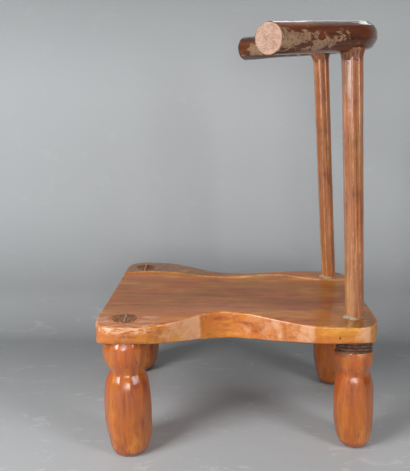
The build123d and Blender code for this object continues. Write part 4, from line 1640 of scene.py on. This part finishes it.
def worn_and_highlit_group():
    """Wear: worn edges go pale and dull, and concave corners are darkened. On the plank the edge mask also
    carries a painted highlight along the step into the hollow.
    """
    inputs = [
        ("Color", COLOUR, None),
        ("Worn", COLOUR, None),
        ("Ridge", NUMBER, 0.0),
        ("Corner", NUMBER, 0.0),
        ("Amount", NUMBER, 0.6),
        ("Seed", NUMBER, 0.0),
    ]
    outputs = [("Color", COLOUR), ("Mask", NUMBER)]
    tree, w, given = new_group("rubbed edges", "ShaderNodeTree", inputs, outputs)
    patches = w.noise(w.object_place(), 60.0, 4.0, 0.65, given["Seed"])
    mask = w.times(given["Ridge"], w.ramp(patches, 0.42, 0.60))
    mask = w.times(mask, given["Amount"], clamp=True)
    worn_and_highlit = w.mix(mask, given["Color"], given["Worn"])
    # Concave corners are darkened towards near black, in noisy patches.
    corner_dark = w.times(given["Corner"], w.ramp(patches, 0.7, 0.3))
    darkened = w.mix(w.times(corner_dark, 0.75), worn_and_highlit, (0.03, 0.015, 0.01, 1))
    w.put("NodeGroupOutput", {"Color": darkened, "Mask": mask})
    return tree


def group_node(w, name, maker, feeds):
    tree = bpy.data.node_groups.get(name) or maker()
    return w.put("ShaderNodeGroup", feeds, node_tree=tree).outputs


def new_material(name):
    material = bpy.data.materials.new(name)
    material.use_nodes = True
    material.node_tree.nodes.clear()
    return material, Wiring(material.node_tree)


def surface(w, feeds):
    """The last nodes of a material: its shader, and the output."""
    shader = w.put("ShaderNodeBsdfPrincipled", feeds)
    w.put("ShaderNodeOutputMaterial", {"Surface": shader.outputs[0]})


class WoodLook(NamedTuple):
    """What sets one kind of wood on the chair apart."""

    colours: tuple                # pale, middle and dark, by their names in WoodColours
    bands: tuple                  # the length and the width of the figure's broad bands
    seed: float
    contrast: float = 0.8
    wear: float = 0.3
    roughness: tuple = (0.45, 0.3)    # the least, and how much the figure adds
    specular: float = 0.3
    coat: float = 1.0
    coat_ior: float = 1.5
    coat_roughness: float = 0.3
    bump: float = 0.6


WOODS = {
    "seat_wood": WoodLook(
        ("seat_pale", "seat_mid", "seat_dark"),
        (0.16, 0.020),
        1.0,
        contrast=1.0,
        wear=0.55,
        roughness=(0.38, 0.20),
        specular=0.25,
        coat=0.9,
        coat_roughness=0.17,
        bump=0.3,
    ),
    "leg_wood": WoodLook(
        ("leg_pale", "leg_mid", "leg_dark"),
        (0.11, 0.012),
        4.0,
        contrast=0.9,
        wear=0.35,
        roughness=(0.36, 0.18),
        specular=0.1,
        coat_ior=1.75,
        coat_roughness=0.21,
        bump=0.35,
    ),
    "post_wood": WoodLook(
        ("post_pale", "post_mid", "post_dark"),
        (0.30, 0.006),
        9.0,
        wear=0.5,
        roughness=(0.32, 0.2),
        specular=0.25,
        coat_ior=1.7,
        coat_roughness=0.22,
        bump=0.35,
    ),
    "rail_wood": WoodLook(
        ("rail_pale", "rail_mid", "rail_dark"),
        (0.10, 0.018),
        14.0,
        contrast=0.85,
        roughness=(0.30, 0.25),
        specular=0.2,
        coat_roughness=0.10,
        bump=0.3,
    ),
    "wedge_wood": WoodLook(
        ("worn_wood", "broken", "broken_dark"),
        (0.012, 0.003),
        18.0,
        contrast=0.9,
        wear=0.5,
        roughness=(0.50, 0.2),
        coat=0.2,
    ),
    "packing_wood": WoodLook(("leg_dark", "char", "char"), (0.05, 0.005), 23.0, coat=0.3, bump=0.8),
    "peg_wood": WoodLook(
        ("seat_dark", "char", "char"),
        (0.004, 0.002),
        27.0,
        contrast=0.5,
        wear=0.0,
        roughness=(0.7, 0.2),
        specular=0.1,
        coat=0.0,
    ),
}


def shade(name):
    """One of the chair's colours, by its name in WoodColours."""
    return rgba(getattr(settings().colours, name))


def seat_wear(w, base, look):
    """The plank's own marks and painted light: the sitting patch with painted shade over the top, painted
    sheen on the adze cuts, darker margins, and the whittled front corner.
    """
    # Sitting tone, with painted shade that darkens the whole top.
    sitting_and_top_shade = w.attribute("sitting_and_top_shade")
    base = w.tinted(base, w.mix(sitting_and_top_shade, WHITE, shade("sitting_and_top_shade_tint")))
    ragged = w.noise(w.object_place(), 48.0, 5.0, 0.72, 3.0)
    # Painted sheen: pale patches with ragged edges on the adze cuts.
    painted_sheen = w.plus(w.attribute("painted_sheen"), w.times(w.minus(ragged, 0.5), 2.4))
    painted_sheen = w.times(w.ramp(painted_sheen, 0.10, 1.0), w.ramp(w.attribute("painted_sheen"), 0.0, 0.25))
    base = w.mix(w.times(painted_sheen, 0.85), base, shade("seat_painted_sheen"))
    # Darker, greyer tone on the right margin and the left rear corner.
    darkened = w.times(w.attribute("grime"), w.ramp(ragged, 0.30, 0.55))
    base = w.tinted(base, w.mix(darkened, WHITE, shade("grime")))
    whittled = w.attribute("whittled")
    grain = w.attribute("grain", "Vector")
    slivers = w.noise(grain, 1.0, 3.0, 0.65, 12.0, stretch=(38.0, 420.0, 420.0))
    pale_sliver = w.times(whittled, w.ramp(slivers, 0.47, 0.58))
    dark_sliver = w.times(whittled, w.ramp(slivers, 0.44, 0.34))
    base = w.mix(w.times(dark_sliver, 0.8), base, shade("post_dark"))
    base = w.mix(w.times(pale_sliver, 0.85), base, shade("whittled"))
    return base, w.times(painted_sheen, 0.12), w.line(sitting_and_top_shade, -0.55, look.coat)


def foot_darkening(w, base):
    """A darker, blotchy tone on a leg's foot, strongest at the floor."""
    at = w.object_place()
    foot_blotches = w.minus(w.noise(at, 60.0, 4.0, 0.7, 9.0), 0.5)
    darkness = w.line(foot_blotches, 1.3, w.ramp(w.separate(at, 2), 0.026, 0.0))
    return w.mix(w.times(w.ramp(darkness, 0.40, 0.9), 0.75), base, shade("leg_dark"))


def hand_wear_and_crest_highlight(w, base):
    """Bare wood with a ragged outline, where hands wore the rail's patina through, and the same pale colour
    as a painted highlight along the top of the left arm.
    """
    at = w.object_place()
    ragged = w.noise(at, 62.0, 6.0, 0.66, 3.0, 0.6, stretch=(1.0, 0.55, 1.3))
    # Worn-through patches, and the painted highlight along the crest.
    bare = w.plus(w.attribute("worn_and_highlit"), w.times(w.minus(ragged, 0.5), 2.3))
    bare = w.ramp(bare, 0.34, 0.44)
    flecks = w.noise(at, 260.0, 4.0, 0.7, 6.0)
    bare_wood = w.mix(w.ramp(flecks, 0.40, 0.72), shade("rail_worn"), shade("rail_pale"))
    hazy = w.noise(at, 55.0, 3.0, 0.6, 17.0, stretch=(1.0, 0.5, 1.0))
    bare_wood = w.mix(w.times(w.ramp(hazy, 0.44, 0.62), 0.35), bare_wood, shade("rail_mid"))
    return w.mix(w.times(bare, 0.92), base, bare_wood), w.times(bare, 0.2)


def end_grain(w, base, dullness, look, dark, pale):
    """The dry, rough end grain of a sawn rail or a broken tenon."""
    at = w.object_place()
    fine = w.noise(at, 330.0, 4.0, 0.7, 2.0, stretch=(1.0, 1.0, 3.0))
    coarse = w.noise(at, 90.0, 3.0, 0.6, 7.0)
    marks = w.plus(w.times(fine, 0.65), w.times(coarse, 0.35))
    end_colour = w.mix(w.ramp(marks, 0.38, 0.60), shade(dark), shade(pale))
    cut_off = w.ramp(w.attribute("end_grain"), 0.3, 0.6)
    coat = w.line(cut_off, -0.9 * look.coat, look.coat)
    return w.mix(cut_off, base, end_colour), w.line(cut_off, 0.25, dullness), coat


def wood(slot):
    """The lacquered wood of one of the chair's material slots."""
    name = f"{slot}_finish"
    if name in bpy.data.materials:
        return bpy.data.materials[name]
    look = WOODS[slot]
    material, w = new_material(name)
    pale, middle, dark = [shade(key) for key in look.colours]
    feeds = {
        "Grain": w.attribute("grain", "Vector"),
        "Pale": pale,
        "Middle": middle,
        "Dark": dark,
        "Band Length": look.bands[0],
        "Band Width": look.bands[1],
        "Contrast": look.contrast,
        "Seed": look.seed,
    }
    figure = group_node(w, "wood figure", figure_group, feeds)
    base, dullness, coat = figure["Color"], 0.0, look.coat
    if slot == "seat_wood":
        base, dullness, coat = seat_wear(w, base, look)
    if slot == "leg_wood":
        base = foot_darkening(w, base)
        base, dullness, coat = end_grain(w, base, dullness, look, "broken_dark", "broken")
    if slot == "rail_wood":
        base, dullness = hand_wear_and_crest_highlight(w, base)
        base, dullness, coat = end_grain(w, base, dullness, look, "sawn_dark", "sawn")
    feeds = {
        "Color": base,
        "Worn": shade("worn_wood"),
        "Ridge": w.attribute("ridge"),
        "Corner": w.attribute("corner"),
        "Amount": look.wear,
        "Seed": look.seed,
    }
    worn_and_highlit = group_node(w, "rubbed edges", worn_and_highlit_group, feeds)
    low, spread = look.roughness
    roughness = w.line(figure["Gloss"], spread, low)
    roughness = w.plus(roughness, w.line(worn_and_highlit["Mask"], 0.2, dullness), clamp=True)
    hand_worked = w.noise(w.object_place(), 70.0, 2.0, 0.5, 11.0)
    feeds = {"Height": hand_worked, "Strength": 0.35, "Distance": 1.2 * MM}
    worked = w.put("ShaderNodeBump", feeds).outputs[0]
    feeds = {"Height": figure["Height"], "Strength": look.bump, "Distance": 0.25 * MM, "Normal": worked}
    feeds = {
        "Base Color": worn_and_highlit["Color"],
        "Roughness": roughness,
        "Specular IOR Level": look.specular,
        "Coat Weight": coat,
        "Coat Roughness": look.coat_roughness,
        "Coat IOR": look.coat_ior,
        "Normal": w.put("ShaderNodeBump", feeds).outputs[0],
        "Coat Normal": worked,
    }
    surface(w, feeds)
    return material


def putty_material():
    """Dry filler, greenish grey where it is bare and brown where it took the stain."""
    if "filler_finish" in bpy.data.materials:
        return bpy.data.materials["filler_finish"]
    material, w = new_material("filler_finish")
    at = w.object_place()
    blots = w.noise(at, 90.0, 4.0, 0.6, 2.0)
    stained = w.attribute("stained")
    stain = w.ramp(w.line(stained, 0.24, blots), 0.44, 0.62)
    grit = w.noise(at, 900.0, 3.0, 0.7, 5.0)
    grain = w.attribute("grain", "Vector")
    streaks = w.noise(grain, 1.0, 3.0, 0.6, 4.0, stretch=(60.0, 420.0, 420.0))
    brown = w.mix(w.ramp(streaks, 0.30, 0.72), shade("post_dark"), shade("post_mid"))
    base = w.mix(stain, shade("putty"), brown)
    pale = w.times(w.times(grit, 0.45), w.minus(1.0, stained))
    bump = w.put("ShaderNodeBump", {"Height": grit, "Strength": 0.6, "Distance": 0.3 * MM})
    feeds = {
        "Base Color": w.mix(pale, base, (0.62, 0.58, 0.46, 1)),
        "Roughness": w.line(grit, 0.3, 0.3),
        "Coat Weight": 0.5,
        "Coat Roughness": 0.2,
        "Normal": bump.outputs[0],
    }
    surface(w, feeds)
    return material


# ================================================================ stage
FLOOR_REACH = (-4.0, 3.5)    # how far the floor runs behind the chair and towards the camera
SHEET_HALF_WIDTH = 5.0
SHEET_TOP = 3.0
LAMPS = (    # name, place, width, height and watts
    ("left_softbox", (1.1, -1.25, 1.12), 0.7, 1.4, 33.0),
    ("right_softbox", (1.1, 1.25, 1.12), 0.45, 1.4, 13.5),
    ("front_softbox", (3.0, 0.05, 0.7), 0.9, 0.9, 20.0),
    ("rim_softbox", (-0.37, 0.10, 0.97), 0.8, 0.16, 0.9),
)
LAMP_TARGET = (0, 0, 0.4)


class CHAIR_OT_stage(bpy.types.Operator):
    """Make the floor with its curved backdrop, the lamps and the camera"""

    bl_idname = "birthing_chair.stage"
    bl_label = "Stage"

    def execute(self, context):
        self.paper()
        self.lamps()
        self.camera()
        context.scene.view_settings.view_transform = "Standard"
        return {"FINISHED"}

    def paper(self):
        """A floor all round the chair, and a sheet that curves up from it close behind the chair."""
        sizes = settings().stage
        floor = [(x, 0.0) for x in FLOOR_REACH]
        rise = [(-sizes.floor_end + 0.02, -0.5 * MM)]
        for angle in np.linspace(0, math.pi / 2, 25):
            x = -sizes.floor_end - sizes.sweep_radius * math.sin(angle)
            rise.append((x, sizes.sweep_radius * (1 - math.cos(angle))))
        rise.append((rise[-1][0], SHEET_TOP))
        material = self.paper_material()
        for name, line in (("paper_floor", floor), ("paper_sweep", rise[::-1])):
            vertices = [(x, y, z) for y in (-SHEET_HALF_WIDTH, SHEET_HALF_WIDTH) for x, z in line]
            count = len(line)
            faces = [(i, i + 1, count + i + 1, count + i) for i in range(count - 1)]
            sheet = mesh_object(name, vertices, faces, material)
            sheet.data.shade_smooth()

    def paper_material(self):
        """Scuffed grey paper with painted shade: darkest where it bends, lighter towards the camera and up
        the backdrop, and darker again near the top. It can't be seen from behind, so it hides the chair
        from no side.
        """
        sizes = settings().stage
        material, w = new_material("paper")
        place_now = w.object_place()
        fibres = w.noise(place_now, 240.0, 4.0, 0.6)
        tint = w.mix(w.times(fibres, 0.12), rgba(sizes.paper), rgba((0.5, 0.5, 0.5)))
        scuffs = w.noise(place_now, 1.0, 5.0, 0.75, 3.0, 1.5, stretch=(30.0, 12.0, 20.0))
        forward, height = w.separate(place_now, 0), w.separate(place_now, 2)
        trodden = w.line(w.ramp(height, 0.10, 0.02), 0.40, 0.10)
        tint = w.mix(w.times(w.ramp(scuffs, 0.55, 0.66), trodden), tint, rgba((0.6, 0.6, 0.6)))
        # Painted light and shade on the paper: darkest at the bend, lighter towards the camera and up the
        # backdrop, darker near the top.
        floor_painted_light = w.times(w.ramp(forward, -sizes.floor_end, 0.20), 0.50)
        wall_painted_light = w.times(w.ramp(height, 0.02, 0.34), 0.27)
        top_painted_shade = w.times(w.ramp(height, 0.55, 0.95), -0.42)
        level = w.plus(w.plus(w.plus(floor_painted_light, wall_painted_light), top_painted_shade), sizes.bend_shade_level)
        tint = w.tinted(tint, w.combine(level, level, level))
        shader = w.put("ShaderNodeBsdfPrincipled", {"Base Color": tint, "Roughness": 0.75})
        clear = w.put("ShaderNodeBsdfTransparent")
        behind = w.put("ShaderNodeNewGeometry").outputs["Backfacing"]
        sides = w.put("ShaderNodeMixShader", {0: behind, 1: shader.outputs[0], 2: clear.outputs[0]})
        w.put("ShaderNodeOutputMaterial", {"Surface": sides.outputs[0]})
        return material

    def lamps(self):
        """Two tall soft lamps beside the camera, one farther off straight ahead, and a weak one behind."""
        target = Vector(LAMP_TARGET)
        for name, place_now, width, height, power in LAMPS:
            lamp = bpy.data.lights.new(name, "AREA")
            lamp.shape, lamp.size, lamp.size_y, lamp.energy = "RECTANGLE", width, height, power
            holder = bpy.data.objects.new(name, lamp)
            holder.location = place_now
            holder.rotation_euler = (target - Vector(place_now)).to_track_quat("-Z", "Y").to_euler()
            holder.visible_camera = False
            bpy.context.scene.collection.objects.link(holder)
        world = bpy.data.worlds.new("studio_air")
        world.use_nodes = True
        w = Wiring(world.node_tree)
        rays = w.put("ShaderNodeLightPath").outputs
        mirrored = w.math("MAXIMUM", rays["Is Glossy Ray"], rays["Is Transmission Ray"])
        seen = w.math("MAXIMUM", rays["Is Camera Ray"], mirrored)
        background = world.node_tree.nodes["Background"]
        background.inputs["Color"].default_value = (0.8, 0.82, 0.85, 1)
        world.node_tree.links.new(w.line(seen, 0.08, 0.03), background.inputs["Strength"])
        bpy.context.scene.world = world

    def camera(self):
        """The camera, turned by its pitch, its yaw and its roll."""
        sizes = settings().stage
        pitch, yaw, roll = sizes.camera_pitch, sizes.camera_yaw, sizes.camera_roll
        level = math.cos(pitch)
        ahead = Vector((-math.cos(yaw) * level, math.sin(yaw) * level, -math.sin(pitch)))
        right = Vector((math.sin(yaw), math.cos(yaw), 0))
        up = right.cross(ahead)
        level_right, level_up = right, up
        right = level_right * math.cos(roll) + level_up * math.sin(roll)
        up = level_up * math.cos(roll) - level_right * math.sin(roll)
        camera = bpy.data.objects.new("camera", bpy.data.cameras.new("camera"))
        camera.data.lens = sizes.lens
        camera.data.sensor_width = 36.0
        camera.data.sensor_fit = "AUTO"
        camera.data.clip_end = 50.0
        matrix = camera.matrix_world.copy()
        for row in range(3):
            matrix[row][0], matrix[row][1], matrix[row][2] = right[row], up[row], -ahead[row]
            matrix[row][3] = sizes.camera_place[row]
        camera.matrix_world = matrix
        bpy.context.scene.collection.objects.link(camera)
        bpy.context.scene.camera = camera


# ================================================================ the add-on
OPERATORS = (
    CHAIR_OT_stage,
    CHAIR_OT_plank,
    CHAIR_OT_legs,
    CHAIR_OT_packing,
    CHAIR_OT_posts,
    CHAIR_OT_rail,
    CHAIR_OT_fillers,
    CHAIR_OT_pins,
)


class CHAIR_PT_panel(bpy.types.Panel):
    """Lists the chair's pieces and their main sizes"""

    bl_idname = "CHAIR_PT_panel"
    bl_label = "Birthing Chair"
    bl_space_type = "VIEW_3D"
    bl_region_type = "UI"
    bl_category = "Birthing Chair"

    def draw(self, context):
        for operator in OPERATORS:
            self.layout.operator(operator.bl_idname)
        for group in ChairSettings.__annotations__:
            box = self.layout.box()
            box.label(text=group.replace("_", " ").capitalize())
            sizes = getattr(settings(), group)
            for key in sizes.bl_rna.properties.keys():
                if key not in ("rna_type", "name"):
                    box.prop(sizes, key)


GROUPS = (
    PlankSizes,
    LegSizes,
    JointSizes,
    PostSizes,
    RailSizes,
    FillerSizes,
    WoodColours,
    StageSizes,
    ChairSettings,
)


def register():
    for made in (*GROUPS, *OPERATORS, CHAIR_PT_panel):
        bpy.utils.register_class(made)
    bpy.types.Scene.birthing_chair = PointerProperty(type=ChairSettings)


def unregister():
    del bpy.types.Scene.birthing_chair
    for made in reversed((*GROUPS, *OPERATORS, CHAIR_PT_panel)):
        bpy.utils.unregister_class(made)


REAR_LEG_SIZES = {
    "sole_radius": 18 * MM,
    "barrel_radius": 34 * MM,
    "barrel_height": 72 * MM,
    "neck_radius": 26 * MM,
    "lip_height": 8 * MM,
    "lip_depth": 1.8 * MM,
    "belly_shift": 0.5 * MM,
    "flare_shift": 0.0,
    "neck_height": 137 * MM,
    "flare_radius": 32 * MM,
    "flare_height": 166 * MM,
    "facets": 10,
}


def main():
    register()
    for key, value in REAR_LEG_SIZES.items():
        setattr(settings().rear_legs, key, value)
    for operator in OPERATORS:
        group, name = operator.bl_idname.split(".")
        getattr(getattr(bpy.ops, group), name)()


if __name__ == "__main__":
    main()
